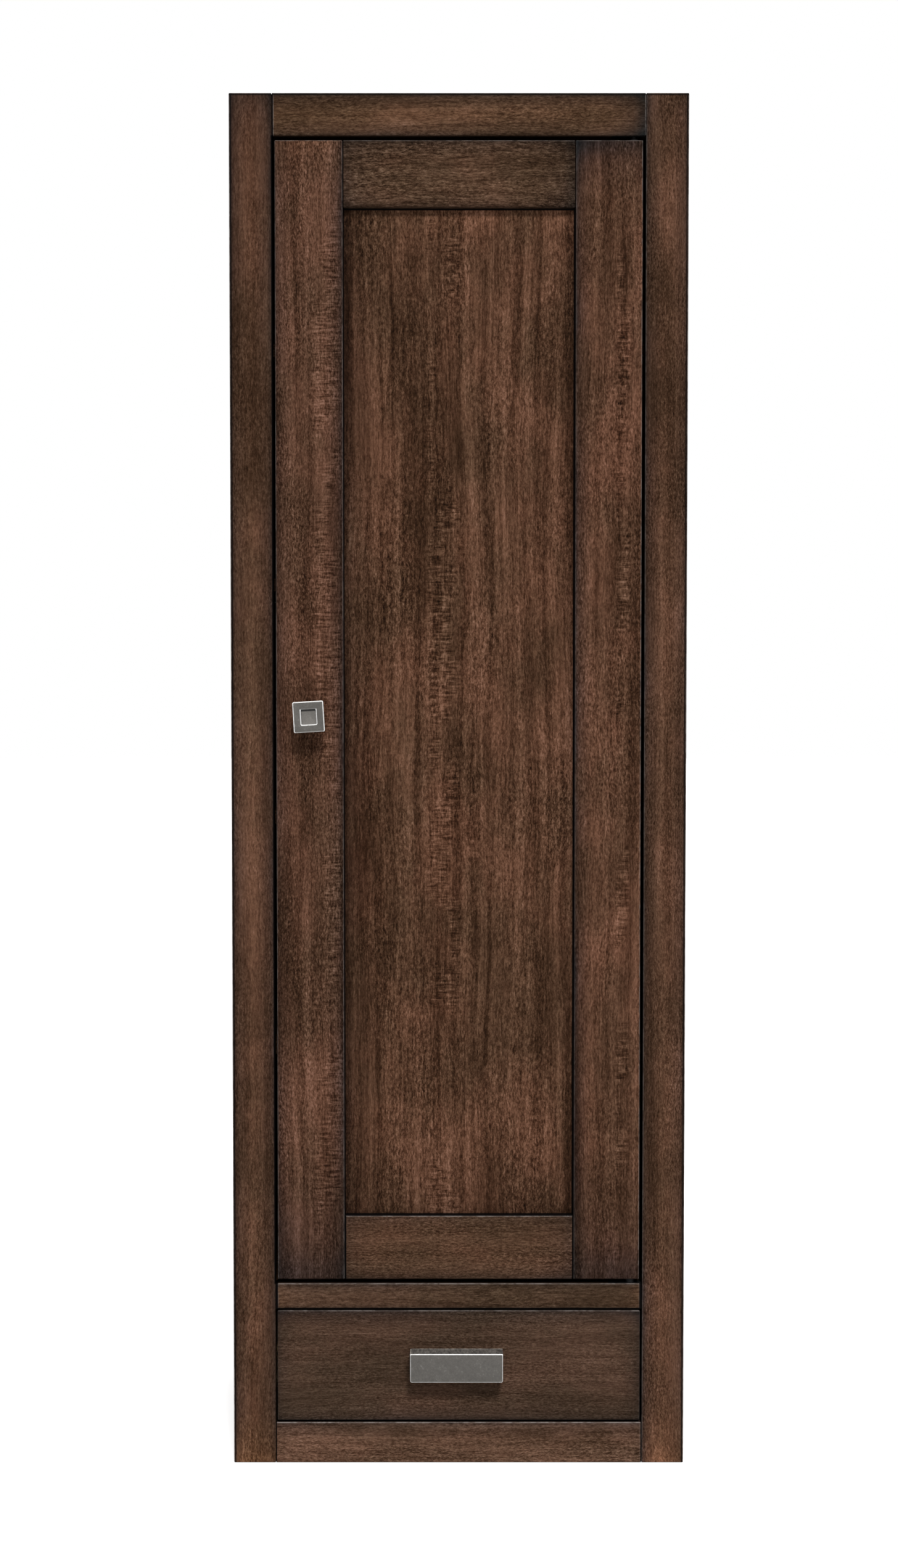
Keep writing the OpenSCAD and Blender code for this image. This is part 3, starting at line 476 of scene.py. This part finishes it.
stained_board(
    "middle_rail", "X", seed=43, mean=(79, 58, 44), fibres=0.6, bands=0.6, ribbons=0.25,
    left=Edge(-0.2, 3.4, pale=0.2, reach=LONG), right=Edge(-0.4, 3.4, pale=0.15, reach=LONG),
    bottom=Edge(0.5, 1.8), top=Edge(0.7, pale=0.65),
)
stained_board(
    "bottom_rail", "X", seed=61, mean=(93, 68, 54), fibres=0.68, bands=1, ribbons=0.5,
    left=Edge(0.1, 1.4, reach=LONG), right=Edge(0.2, 1.2, pale=0.2, reach=LONG), top=Edge(0.7, pale=0.85),
)
print("face frame stained")

# %% [markdown]
# Dressing the door and the drawer face
#
# The door's rails and panel go on into grooves in its stiles. Their solids are longer than what shows, so an
# edge shade measured from the solid would lie hidden in the groove. These boards are given the box that
# shows instead. The panel is set back and takes a wide plain black shade at its left. The black line along
# its top is partly a dark joint and partly painted shadow of the door's top rail.

# %% Door and drawer face
knob_stile_low, knob_stile_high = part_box("door_knob_stile")
hinge_stile_low, hinge_stile_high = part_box("door_hinge_stile")
opening_low = Vector((knob_stile_high.x, knob_stile_low.y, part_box("door_bottom_rail")[1].z))
opening_high = Vector((hinge_stile_low.x, knob_stile_high.y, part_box("door_top_rail")[0].z))


def between_stiles(node):
    """What shows of a piece of the door that goes on into the stiles' grooves."""
    low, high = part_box(node)
    low.x, high.x = opening_low.x, opening_high.x
    if node == "door_panel":
        low.z, high.z = opening_low.z, opening_high.z
    return low, high


# The black lines on the hinge stile's right and the drawer face's bottom lie along gaps: painted shade.
stained_board(
    "door_knob_stile", "Z", seed=71, mean=(79, 54, 41), fibres=0.85, bands=0.95, ribbons=0.65,
    figure=(knob_stile_high.x - 21 * MM, 26 * MM),
    left=Edge(0.6, pale=0.45), right=Edge(0.85, pale=0.35),
    bottom=Edge(0.85, reach=7), top=Edge(-0.3, pale=0.5, reach=LONG),
)
stained_board(
    "door_hinge_stile", "Z", seed=83, mean=(84, 57, 43), fibres=0.72, bands=0.85, ribbons=0.5,
    figure=(hinge_stile_high.x - 25 * MM, 12 * MM),
    left=Edge(1, 1, pale=0.15), right=Edge(0.05, 0.7, pale=0.45),
    bottom=Edge(0.85, reach=7), top=Edge(1, pale=0.5, reach=3.4),
)
stained_board(
    "door_top_rail", "X", seed=97, mean=(79, 57, 43), fibres=0.9, bands=0.65, ribbons=0.3,
    visible=between_stiles("door_top_rail"),
    left=Edge(0.6, 1.5, reach=LONG), right=Edge(0.9, reach=LONG),
    bottom=Edge(0.45), top=Edge(0.75, pale=0.5),
)
stained_board(
    "door_bottom_rail", "X", seed=101, mean=(80, 57, 43), fibres=0.75, bands=0.5, ribbons=0.25,
    visible=between_stiles("door_bottom_rail"),
    left=Edge(0.35, 2.5, reach=LONG), right=Edge(0.5, 1.2, reach=LONG),
    bottom=Edge(0.65), top=Edge(0.5, 1.5, pale=0.9),
)
# The panel's top black line is partly painted shadow of the door's top rail.
stained_board(
    "door_panel", "Z", seed=113, mean=(79, 54, 40), fibres=0.8, bands=0.85, ribbons=0.8,
    figure=(-20 * MM, 30 * MM), visible=between_stiles("door_panel"), shaded=BLACK,
    left=Edge(0.95, 1.4, reach=2), right=Edge(0.35, 1.3),
    bottom=Edge(0.3, reach=4.5), top=Edge(-0.4, 2.1, reach=LONG),
)
stained_board(
    "drawer_face", "X", seed=131, mean=(72, 54, 43), fibres=0.62, bands=0.55, ribbons=0.25,
    left=Edge(0.5, pale=0.1), right=Edge(0.6, pale=0.1),
    bottom=Edge(0.75, 1.4), top=Edge(0.75, pale=0.55),
)
print("door and drawer face stained")

# %% [markdown]
# Dressing the case
#
# The sides, top and back have the same stain, but nobody rubbed or glazed them with care. They get the
# layers of grain and a faint shade at their edges, and no black or pale lines. The inside and the back are a
# little paler, as less stain was spent on them. The stop rail behind the door is nearly black as painted
# shade, so that no light shows through the gap above the door.

# %% Case
CASE_MEAN = (80, 56, 42)
INSIDE_MEAN = (86, 62, 47)
STOP_SHADE_MEAN = (30, 23, 19)
FAINT = Edge(0.35)
SEED_STEP = 14


def plain_board(node, grain, seed, mean, fibres, sides):
    """A board of the case: fainter edges and no black or pale lines."""
    stained_board(node, grain, seed, mean, fibres, marked=False, **{side: FAINT for side in sides})


upright, level = ("front", "back", "bottom", "top"), ("left", "right", "front", "back")
facing = ("left", "right", "bottom", "top")
plain_board("left_side_panel", "Z", 151, CASE_MEAN, 0.8, upright)
plain_board("right_side_panel", "Z", 167, CASE_MEAN, 0.8, upright)
plain_board("top_panel", "X", 181, CASE_MEAN, 0.8, level)
for number, node in enumerate(["deck_panel", "bottom_panel", "shelf_1", "shelf_2", "shelf_3", "shelf_4"]):
    plain_board(node, "X", 200 + SEED_STEP * number, INSIDE_MEAN, 0.6, level)
plain_board("hanging_rail", "X", 300, INSIDE_MEAN, 0.6, facing)
plain_board("rear_base_rail", "X", 320, INSIDE_MEAN, 0.6, facing)
plain_board("back_panel", "Z", 340, INSIDE_MEAN, 0.6, facing)
# The stop rail's near black is painted shade for the gap above the door.
plain_board("door_stop_rail", "X", 360, STOP_SHADE_MEAN, 0.5, facing)
print("case and shelves stained")

# %% [markdown]
# Clear wood
#
# The drawer box, the cleats and the corner blocks were left in clear lacquer, as is usual for what is out
# of sight. They could have a material of their own kind, but the same layers serve, with paler colours and
# less contrast.

# %% Drawer box and cleats
CLEAR_RAMP = [
    (0.2, srgb(158, 124, 84)),
    (0.5, srgb(193, 160, 116)),
    (0.8, srgb(215, 186, 144)),
]


def clear_board(node, grain, seed):
    """Dresses one board in clear lacquer."""
    finish = Finish(f"{node}_clear")
    layers = wood_layers(finish, grain, seed)
    tone = 0.5 + 0.5 * layers["fibre"] + 0.8 * layers["streak"] + 0.7 * layers["ribbon"]
    colour = finish.node("ShaderNodeValToRGB", {"stops": CLEAR_RAMP}, [tone])
    colour = finish.tint(colour, 1 - 0.25 * layers["crinkle"].fade(-0.17, -0.07))
    finish.surface({"Base Color": colour, "Roughness": 0.55, "Specular IOR Level": 0.3})
    finish.bump(layers["fibre"], 0.15, 0.3 * MM)
    finish.dress(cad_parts[node])


for number, (node, grain) in enumerate(
    {
        "drawer_box_front": "X",
        "drawer_back": "X",
        "drawer_left_side": "Y",
        "drawer_right_side": "Y",
        "drawer_bottom": "X",
        "left_runner_cleat": "Y",
        "right_runner_cleat": "Y",
        "corner_blocks": "Z",
        "frame_dowels": "X",
    }.items()
):
    clear_board(node, grain, 500 + SEED_STEP * number)
print("drawer box in clear wood")

# %% [markdown]
# Metal and plastic
#
# The slides and screws are zinc plated, the door pivots blackened, and the bushes and glides moulded nylon.
# They could all be smooth, but real plating and plastic have a faint mottle, which one cloudy noise and one
# fine noise give. One function serves for all of them, and for the catches, because they differ only in
# colour, roughness, gloss and how far they are metal. The front ends of the outer slide members, which would
# shine in the drawer's gaps, are painted near black as painted shade.

# %% Plain fittings
def fitting(name, colour, rough, metal, nodes, gloss=0.5, painted_shade_depth=0.0):
    """A metal or plastic with a light mottle, painted near black as painted shade up to some depth from its
    front.
    """
    finish = Finish(name)
    cloud = finish.noise(finish.place, (90, 90, 90), 1, 3, 0.6)
    speck = finish.noise(finish.place, (900, 900, 900), 2, 2)
    colour = finish.tint(srgb(*colour)[:3], 1 + 0.5 * (cloud - 0.5) + 0.25 * (speck - 0.5))
    # Painted shade: the front of the piece goes near black up to the given depth.
    if painted_shade_depth:
        near = finish.axes[1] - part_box(nodes[0])[0].y
        colour = finish.blend(near.fade(0.8 * painted_shade_depth, painted_shade_depth), colour, GLAZE_AND_SHADE)
    finish.surface({"Base Color": colour, "Roughness": rough + 0.3 * (cloud - 0.5), "Metallic": metal})
    finish.surface({"Specular IOR Level": gloss})
    finish.bump(speck, 0.08, 0.1 * MM)
    finish.dress(*[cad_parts[node] for node in nodes])


ZINC = (176, 178, 182)
DULL = 0.1
pivot_steel = ["pivot_plates", "pivot_pins", "pivot_plate_screws"]
fitting("zinc_plate", ZINC, 0.34, 1.0, [
    "slide_middle_members", "slide_inner_members", "slide_outer_screws", "slide_inner_screws",
    "outer_ball_cages", "inner_ball_cages", "shelf_pins", "back_screws", "catch_screws",
    "strike_plates", "strike_screws", "face_screws", "pull_screws", "door_knob_screw",
])
fitting("zinc_with_painted_shade", ZINC, 0.34, 1.0, ["slide_outer_members"], painted_shade_depth=14 * MM)
fitting("black_oxide", (16, 15, 14), 0.7, 0.0, pivot_steel, gloss=DULL)
fitting("black_nylon", (17, 17, 18), 0.6, 0.0, ["thrust_washer", "pivot_bushes", "glides"], gloss=DULL)
fitting("brown_plastic", (92, 62, 42), 0.42, 0.0, ["catch_housings"])
fitting("ferrite", (56, 56, 60), 0.6, 0.2, ["catch_magnets"])
print("fittings finished")

# %% [markdown]
# Pewter
#
# The knob and the pull are cast in pewter: a grey, slightly pitted metal that is polished bright where it is
# touched. Wear could be painted along the edges, but its place can be worked out as well. Turned and centred
# coordinates say how far a point lies inside the front's outline, and a narrow band along that outline is
# made bright: partly that polish and partly painted highlight, brightest on the top rim, and on the chamfer
# of the knob's sunk square dimmer on its upper side. Painted shadow darkens the sunk floor under its top
# edge and at its left. The top face of each piece is painted paler, as painted light from above, and is more
# pitted than its front.

# %% Pewter
PEWTER = srgb(87, 84, 80)
POLISH_AND_HIGHLIGHT_WHITE = srgb(250, 249, 247)


def inside_outline(x, z, half_x, half_z, radius):
    """How far a point lies inside a rectangle with rounded corners, seen from the front."""
    over_x = x.math("ABSOLUTE") - half_x + radius
    over_z = z.math("ABSOLUTE") - half_z + radius
    past_x, past_z = over_x.higher(0), over_z.higher(0)
    return radius - (past_x * past_x + past_z * past_z).math("SQRT") - over_x.higher(over_z).lower(0)


def pewter(name, low, high, rims, rim_width, corners, turn=0.0, ring=None):
    """Cast pewter for a piece that fills the box from low to high.

    Rims says how bright each edge of the front is, as polish and painted highlight, and corners gives the
    radii of its lower and upper corners. Ring is a sunk square: half its mouth, its chamfer, its corner
    radius, the brightness of its chamfer, as polish and painted highlight, and that of the chamfer's upper
    side."""
    finish = Finish(name)
    inputs = {"Vector": finish.place, "Location": (low + high) / 2, "Rotation": (0, turn, 0)}
    local = finish.node("ShaderNodeMapping", {"vector_type": "TEXTURE"}, inputs)
    split = finish.node("ShaderNodeSeparateXYZ", inputs=[local]).socket.node
    x, y, z = [Wire(finish, socket) for socket in split.outputs]
    half = (high - low) / 2
    front = y + half.y
    sides = {"left": x + half.x, "right": half.x - x, "bottom": z + half.z, "top": half.z - z}
    cloud = finish.noise(local, (110, 110, 110), 3, 3, 0.6) - 0.5
    grit = finish.noise(local, (400, 400, 400), 4, 3, 0.7) - 0.5
    grain = finish.noise(local, (1100, 1100, 1100), 6, 2, 0.7) - 0.5
    pits = finish.noise(local, (340, 110, 340), 7, 3, 0.75) - 0.5
    rim_patches = finish.noise(local, (260, 900, 260), 5, 2).fade(0.3, 0.65)
    nicks = grit.fade(0.2, 0.06) * cloud.fade(0.1, 0.02)
    polish_and_highlight = 0.06 * nicks
    radius = corners[1] + (corners[0] - corners[1]) * z.fade(-0.1 * MM, 0.1 * MM)
    inset = inside_outline(x, z, half.x, half.z, radius)
    edge = inset.fade(rim_width, rim_width + 0.4 * MM) * front.fade(rim_width, rim_width + 0.4 * MM)
    # Rims: polish and painted highlight, brightest on the top rim.
    for side, share in rims.items():
        polish_and_highlight = polish_and_highlight.higher(share * edge * sides[side].fade(1.6 * MM, 2.4 * MM) * (0.75 + 0.25 * rim_patches))
    # Painted light from above makes the top face paler. Along its back and left edges it is paler still.
    above = sides["top"].fade(0.3 * MM, 0.8 * MM)
    back_rim = above * (half.y - y).fade(2.4 * MM, 4 * MM).higher(sides["left"].fade(1 * MM, 1.8 * MM))
    lightness = 1 + 0.4 * cloud + 0.7 * grit + 0.8 * grain
    lightness = lightness + above * (0.85 + 8 * pits) + 9 * back_rim * rim_patches
    if ring:
        mouth, width, corner, share, top_share = ring
        inset = inside_outline(x, z, mouth, mouth, corner)
        chamfer = inset.fade(-0.15 * MM, 0) * -1 + 1
        chamfer = chamfer * inset.fade(width, width + 0.1 * MM) * front.fade(1.9 * MM, 2.1 * MM)
        # The chamfer's painted highlight is dimmer on its upper side, which faces down.
        upper = (z - x.math("ABSOLUTE")).fade(0.3 * MM, -0.3 * MM)
        polish_and_highlight = polish_and_highlight.higher(chamfer * (share + (top_share - share) * upper) * (0.75 + 0.25 * rim_patches))
        sunk = inset.fade(width, width - 0.1 * MM) * front.fade(4 * MM, 4.5 * MM)
        floor_half = mouth - width
        # Painted shadow: the sunk floor darkens under its top edge and at its left.
        painted_shadow = (floor_half - z).fade(1.6 * MM, 3.2 * MM).higher(0.45 * (x + floor_half).fade(0, 1.4 * MM))
        lightness = lightness * (1 + sunk * (0.4 - 1.25 * painted_shadow))
    colour = finish.blend(polish_and_highlight, finish.tint(PEWTER[:3], lightness), POLISH_AND_HIGHLIGHT_WHITE)
    finish.surface({"Base Color": colour, "Roughness": 0.55 - 0.15 * polish_and_highlight, "Metallic": 0.5})
    finish.bump(grit + 0.6 * cloud, 0.15, 0.25 * MM)
    return finish


print("pewter is ready")

# %% [markdown]
# Modelling the knob
#
# The knob is a square head with a sunk square, on a neck and a foot. It could be a lathe job if it were
# round. As a square form it is quicker from one block: the back is inset and drawn out for the neck and the
# foot, and a smaller block, flared towards its front, cuts the sunk square. The arrises are rounded last,
# because light on a rounded arris is what makes metal look heavy. The knob is built turned by a few degrees,
# as it has worked loose on its screw. The helpers come first, and the pull uses them too.

# %% Modelling helpers
ROUND_SIDES = 32


def deselect():
    """Leaves no object selected, as a new operator acts on every selected one."""
    bpy.ops.object.select_all(action="DESELECT")


def block(name, size, centre, turn=0.0):
    """A block in edit mode, with its sizes real and its object still where the piece stands."""
    deselect()
    bpy.ops.mesh.primitive_cube_add(size=1, location=centre, rotation=(0, turn, 0), scale=size)
    piece = bpy.context.object
    piece.name = name
    bpy.ops.object.transform_apply(location=False, rotation=False, scale=True)
    bpy.ops.object.mode_set(mode="EDIT")
    return piece


def pick_faces(piece, test):
    """Selects the faces whose centre and normal pass the test, in the piece's own coordinates."""
    mesh = bmesh.from_edit_mesh(piece.data)
    bpy.ops.mesh.select_mode(type="FACE")
    for face in mesh.faces:
        face.select_set(test(face.calc_center_median(), face.normal))
    mesh.select_flush_mode()
    bmesh.update_edit_mesh(piece.data)


def pick_edges(piece, test):
    """Selects the edges whose two ends pass the test."""
    mesh = bmesh.from_edit_mesh(piece.data)
    bpy.ops.mesh.select_mode(type="EDGE")
    for edge in mesh.edges:
        edge.select_set(test(edge.verts[0].co, edge.verts[1].co))
    bmesh.update_edit_mesh(piece.data)


def extrude(step):
    """Draws out what is selected by one step."""
    bpy.ops.mesh.extrude_region_move(TRANSFORM_OT_translate={"value": step})


def apply_modifier(piece, kind, **settings):
    """Adds one modifier to a piece and puts its result into the mesh."""
    deselect()
    piece.select_set(True)
    bpy.context.view_layer.objects.active = piece
    modifier = piece.modifiers.new(kind.lower(), kind)
    for name, value in settings.items():
        setattr(modifier, name, value)
    bpy.ops.object.modifier_apply(modifier=modifier.name)


def cut_away(piece, cutter):
    """Takes the cutter's shape out of a piece, and removes the cutter."""
    apply_modifier(piece, "BOOLEAN", operation="DIFFERENCE", object=cutter, solver="EXACT")
    bpy.data.objects.remove(cutter)


def cut_bore(piece, diameter, start, end):
    """Bores a round hole along Y from start to end, both points in the frame."""
    deselect()
    middle = (start + end) / 2
    bpy.ops.mesh.primitive_cylinder_add(
        vertices=ROUND_SIDES,
        radius=diameter / 2,
        depth=(end - start).length,
        location=middle,
        rotation=(math.radians(90), 0, 0),
    )
    cut_away(piece, bpy.context.object)


def finish_piece(piece, arris, segments=3):
    """Rounds what is still sharp, shades it and puts the piece's place into its mesh."""
    sharp = math.radians(40)
    apply_modifier(piece, "BEVEL", width=arris, segments=segments, limit_method="ANGLE", angle_limit=sharp)
    bpy.ops.object.shade_smooth_by_angle(angle=math.radians(32))
    bpy.ops.object.transform_apply(location=True, rotation=True, scale=True)
    print(f"{piece.name}: {len(piece.data.polygons)} faces")


print("block, pick, extrude, cut and finish are ready")

# %% Knob
KNOB_TURN = math.radians(-3.4)
KNOB_W = 41 * MM
KNOB_CORNER = 2 * MM
KNOB_REACH = 28 * MM
HEAD_T = 9 * MM
MOUTH_W = 22.4 * MM
MOUTH_CORNER = 2 * MM
RIM = 1.3 * MM
RECESS_D = 3 * MM
NECK_W = 14 * MM
FOOT_W = 22 * MM
FOOT_T = 3 * MM
SCREW_DIA = 4.1 * MM
NEAR_EDGE = 0.49

knob_low, knob_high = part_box("door_knob")
knob_centre = (knob_low + knob_high) / 2
head_centre = Vector((knob_centre.x, front_y - KNOB_REACH + HEAD_T / 2, knob_centre.z))
knob = block("knob_casting", (KNOB_W, HEAD_T, KNOB_W), head_centre, KNOB_TURN)
pick_faces(knob, lambda place, normal: normal.y > 0.9 and place.y > 0.4 * HEAD_T)
bpy.ops.mesh.inset(thickness=(KNOB_W - NECK_W) / 2)
extrude((0, KNOB_REACH - HEAD_T - FOOT_T, 0))
# A step of no length, then widened, makes the shoulder of the foot.
extrude((0, 0, 0))
bpy.ops.transform.resize(
    value=(FOOT_W / NECK_W, 1, FOOT_W / NECK_W),
    center_override=(knob_centre.x, front_y - FOOT_T, knob_centre.z),
)
extrude((0, FOOT_T, 0))
outer = NEAR_EDGE * KNOB_W
pick_edges(knob, lambda a, b: all(min(abs(p.x), abs(p.z)) > outer for p in (a, b)) and abs(a.y - b.y) > MM)
bpy.ops.mesh.bevel(offset=KNOB_CORNER, segments=4, affect="EDGES")
bpy.ops.object.mode_set(mode="OBJECT")

floor_w = MOUTH_W - 2 * RIM
cutter_t = RECESS_D - RIM
cutter_centre = Vector((knob_centre.x, front_y - KNOB_REACH + RIM + cutter_t / 2, knob_centre.z))
cutter = block("sunk_square", (floor_w, cutter_t, floor_w), cutter_centre, KNOB_TURN)
pick_edges(cutter, lambda a, b: abs(a.y - b.y) > 0.5 * MM)
bpy.ops.mesh.bevel(offset=MOUTH_CORNER * floor_w / MOUTH_W, segments=5, affect="EDGES")
pick_faces(cutter, lambda place, normal: normal.y < -0.9)
extrude((0, -2 * RIM, 0))
flare = 1 + 4 * RIM / floor_w
bpy.ops.transform.resize(value=(flare, 1, flare), center_override=cutter_centre)
bpy.ops.object.mode_set(mode="OBJECT")
cut_away(knob, cutter)
cut_bore(
    knob,
    SCREW_DIA,
    Vector((knob_centre.x, front_y - KNOB_REACH + HEAD_T, knob_centre.z)),
    Vector((knob_centre.x, front_y + FOOT_T, knob_centre.z)),
)
finish_piece(knob, 0.3 * MM, 2)
knob_box = (
    knob_centre - Vector((KNOB_W, KNOB_REACH, KNOB_W)) / 2,
    knob_centre + Vector((KNOB_W, KNOB_REACH, KNOB_W)) / 2,
)
# How bright each rim of the knob is, as polish and painted highlight.
knob_rims = {"left": 0.85, "right": 0.8, "top": 1.0, "bottom": 0.28}
knob_ring = (MOUTH_W / 2, RIM, MOUTH_CORNER, 0.85, 0.15)
knob_corners = (KNOB_CORNER, KNOB_CORNER)
pewter("knob_pewter", *knob_box, knob_rims, 0.9 * MM, knob_corners, KNOB_TURN, knob_ring).dress(knob)
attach(knob, "door")
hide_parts("door_knob")

# %% [markdown]
# Modelling the pull
#
# A cup pull is a box with no floor and no back: fingers reach up behind its front. It could be carved out
# with a boolean, but a bent sheet is closer to how the wall runs. So the block loses its bottom and back
# faces, and Solidify gives the four that are left their thickness, inwards. Two posts inside take the
# screws.

# %% Pull
PULL_WALL = 3.5 * MM
PULL_CORNER = 2.5 * MM
POST_DIA = 9 * MM
POST_HALF_PITCH = 48 * MM
AT_CORNER = 0.499

pull_low, pull_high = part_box("drawer_pull")
pull_centre = (pull_low + pull_high) / 2
pull_size = pull_high - pull_low
pull = block("pull_casting", pull_size, pull_centre)
pick_faces(pull, lambda place, normal: normal.z < -0.9 or normal.y > 0.9)
bpy.ops.mesh.delete(type="FACE")
bpy.ops.object.mode_set(mode="OBJECT")
apply_modifier(pull, "SOLIDIFY", thickness=PULL_WALL, offset=-1, use_even_offset=True)
bpy.ops.object.mode_set(mode="EDIT")
corner_x = AT_CORNER * pull_size.x
corner_z = -AT_CORNER * pull_size.z
pick_edges(pull, lambda a, b: a.x * b.x > 0 and all(abs(p.x) > corner_x and p.z < corner_z for p in (a, b)))
bpy.ops.mesh.bevel(offset=PULL_CORNER, segments=4, affect="EDGES")
bpy.ops.object.mode_set(mode="OBJECT")
for post_x in (pull_centre.x - POST_HALF_PITCH, pull_centre.x + POST_HALF_PITCH):
    deselect()
    bpy.ops.mesh.primitive_cylinder_add(
        vertices=ROUND_SIDES,
        radius=POST_DIA / 2,
        depth=pull_size.y - PULL_WALL / 2,
        location=(post_x, pull_centre.y + PULL_WALL / 4, pull_centre.z),
        rotation=(math.radians(90), 0, 0),
    )
    post = bpy.context.object
    apply_modifier(pull, "BOOLEAN", operation="UNION", object=post, solver="EXACT")
    bpy.data.objects.remove(post)
    cut_bore(
        pull,
        SCREW_DIA,
        Vector((post_x, pull_low.y + PULL_WALL, pull_centre.z)),
        Vector((post_x, pull_high.y + PULL_WALL, pull_centre.z)),
    )
finish_piece(pull, 0.8 * MM, 3)
# How bright each rim of the pull is, as polish and painted highlight.
pull_rims = {"left": 0.42, "right": 0.5, "top": 1.0, "bottom": 0.38}
pewter("pull_pewter", pull_low, pull_high, pull_rims, 0.9 * MM, (PULL_CORNER, 0.8 * MM)).dress(pull)
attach(pull, "drawer")
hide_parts("drawer_pull")

# %% [markdown]
# Light and floor
#
# A cut-out product picture is lit evenly: a large soft lamp high in front and a little to the right, which
# throws the short shadow under the pull, and light from all round. A sun lamp with a wide disc gives the
# same strength from head to foot, which a lamp at three metres would not. A dimmer sun behind keeps the back
# from going dark when the cupboard is seen from there. The white behind is only for rays that come from the
# camera, from glossy metal or through glass, so it doesn't wash out the wood.

# %% Lamps
KEY_STRENGTH = 2.6
KEY_DISC = 13
KEY_HEIGHT = math.radians(48)
KEY_SIDE = math.radians(12)
FILL_STRENGTH = 0.7
FILL_DISC = 40
FILL_HEIGHT = math.radians(40)
FILL_SIDE = math.radians(160)


def sun(name, strength, width, height, side):
    """A soft distant lamp, with a disc so many degrees wide. Side 0 shines from the front, and higher values
    come from the right."""
    deselect()
    bpy.ops.object.light_add(type="SUN", rotation=(math.radians(90) - height, 0, side))
    lamp = bpy.context.object
    lamp.name = name
    lamp.data.energy = strength
    lamp.data.angle = math.radians(width)
    print(f"{name}: {strength} W/m2")


sun("key_lamp", KEY_STRENGTH, KEY_DISC, KEY_HEIGHT, KEY_SIDE)
sun("back_fill", FILL_STRENGTH, FILL_DISC, FILL_HEIGHT, FILL_SIDE)

# %% World
AMBIENT = 0.19
world = bpy.data.worlds.new("studio")
bpy.context.scene.world = world
world.use_nodes = True
background = world.node_tree.nodes["Background"]


def seen_rays(tree):
    """An output that is 1 for rays from the camera, from gloss or through glass."""
    path = tree.nodes.new("ShaderNodeLightPath")
    total = path.outputs["Is Camera Ray"]
    for name in ("Is Glossy Ray", "Is Transmission Ray"):
        both = tree.nodes.new("ShaderNodeMath")
        both.operation = "MAXIMUM"
        tree.links.new(total, both.inputs[0])
        tree.links.new(path.outputs[name], both.inputs[1])
        total = both.outputs[0]
    return total


strength = world.node_tree.nodes.new("ShaderNodeMapRange")
strength.inputs["To Min"].default_value = AMBIENT
strength.inputs["To Max"].default_value = 1.0
world.node_tree.links.new(seen_rays(world.node_tree), strength.inputs["Value"])
world.node_tree.links.new(strength.outputs[0], background.inputs["Strength"])
background.inputs["Color"].default_value = WHITE
print(f"ambient light {AMBIENT}")

# %% Floor
FLOOR_LIFT = 0.73
deselect()
bpy.ops.mesh.primitive_plane_add(size=60)
floor = bpy.context.object
floor.name = "floor"
paper = Finish("white_floor")
paper.surface({"Base Color": srgb(236, 236, 236), "Roughness": 0.9, "Specular IOR Level": 0.0})
lift = Wire(paper, seen_rays(paper.tree))
glow = paper.tint((FLOOR_LIFT, FLOOR_LIFT, FLOOR_LIFT), lift)
paper.surface({"Emission Color": glow, "Emission Strength": 1.0})
paper.dress(floor)
print("studio is lit")
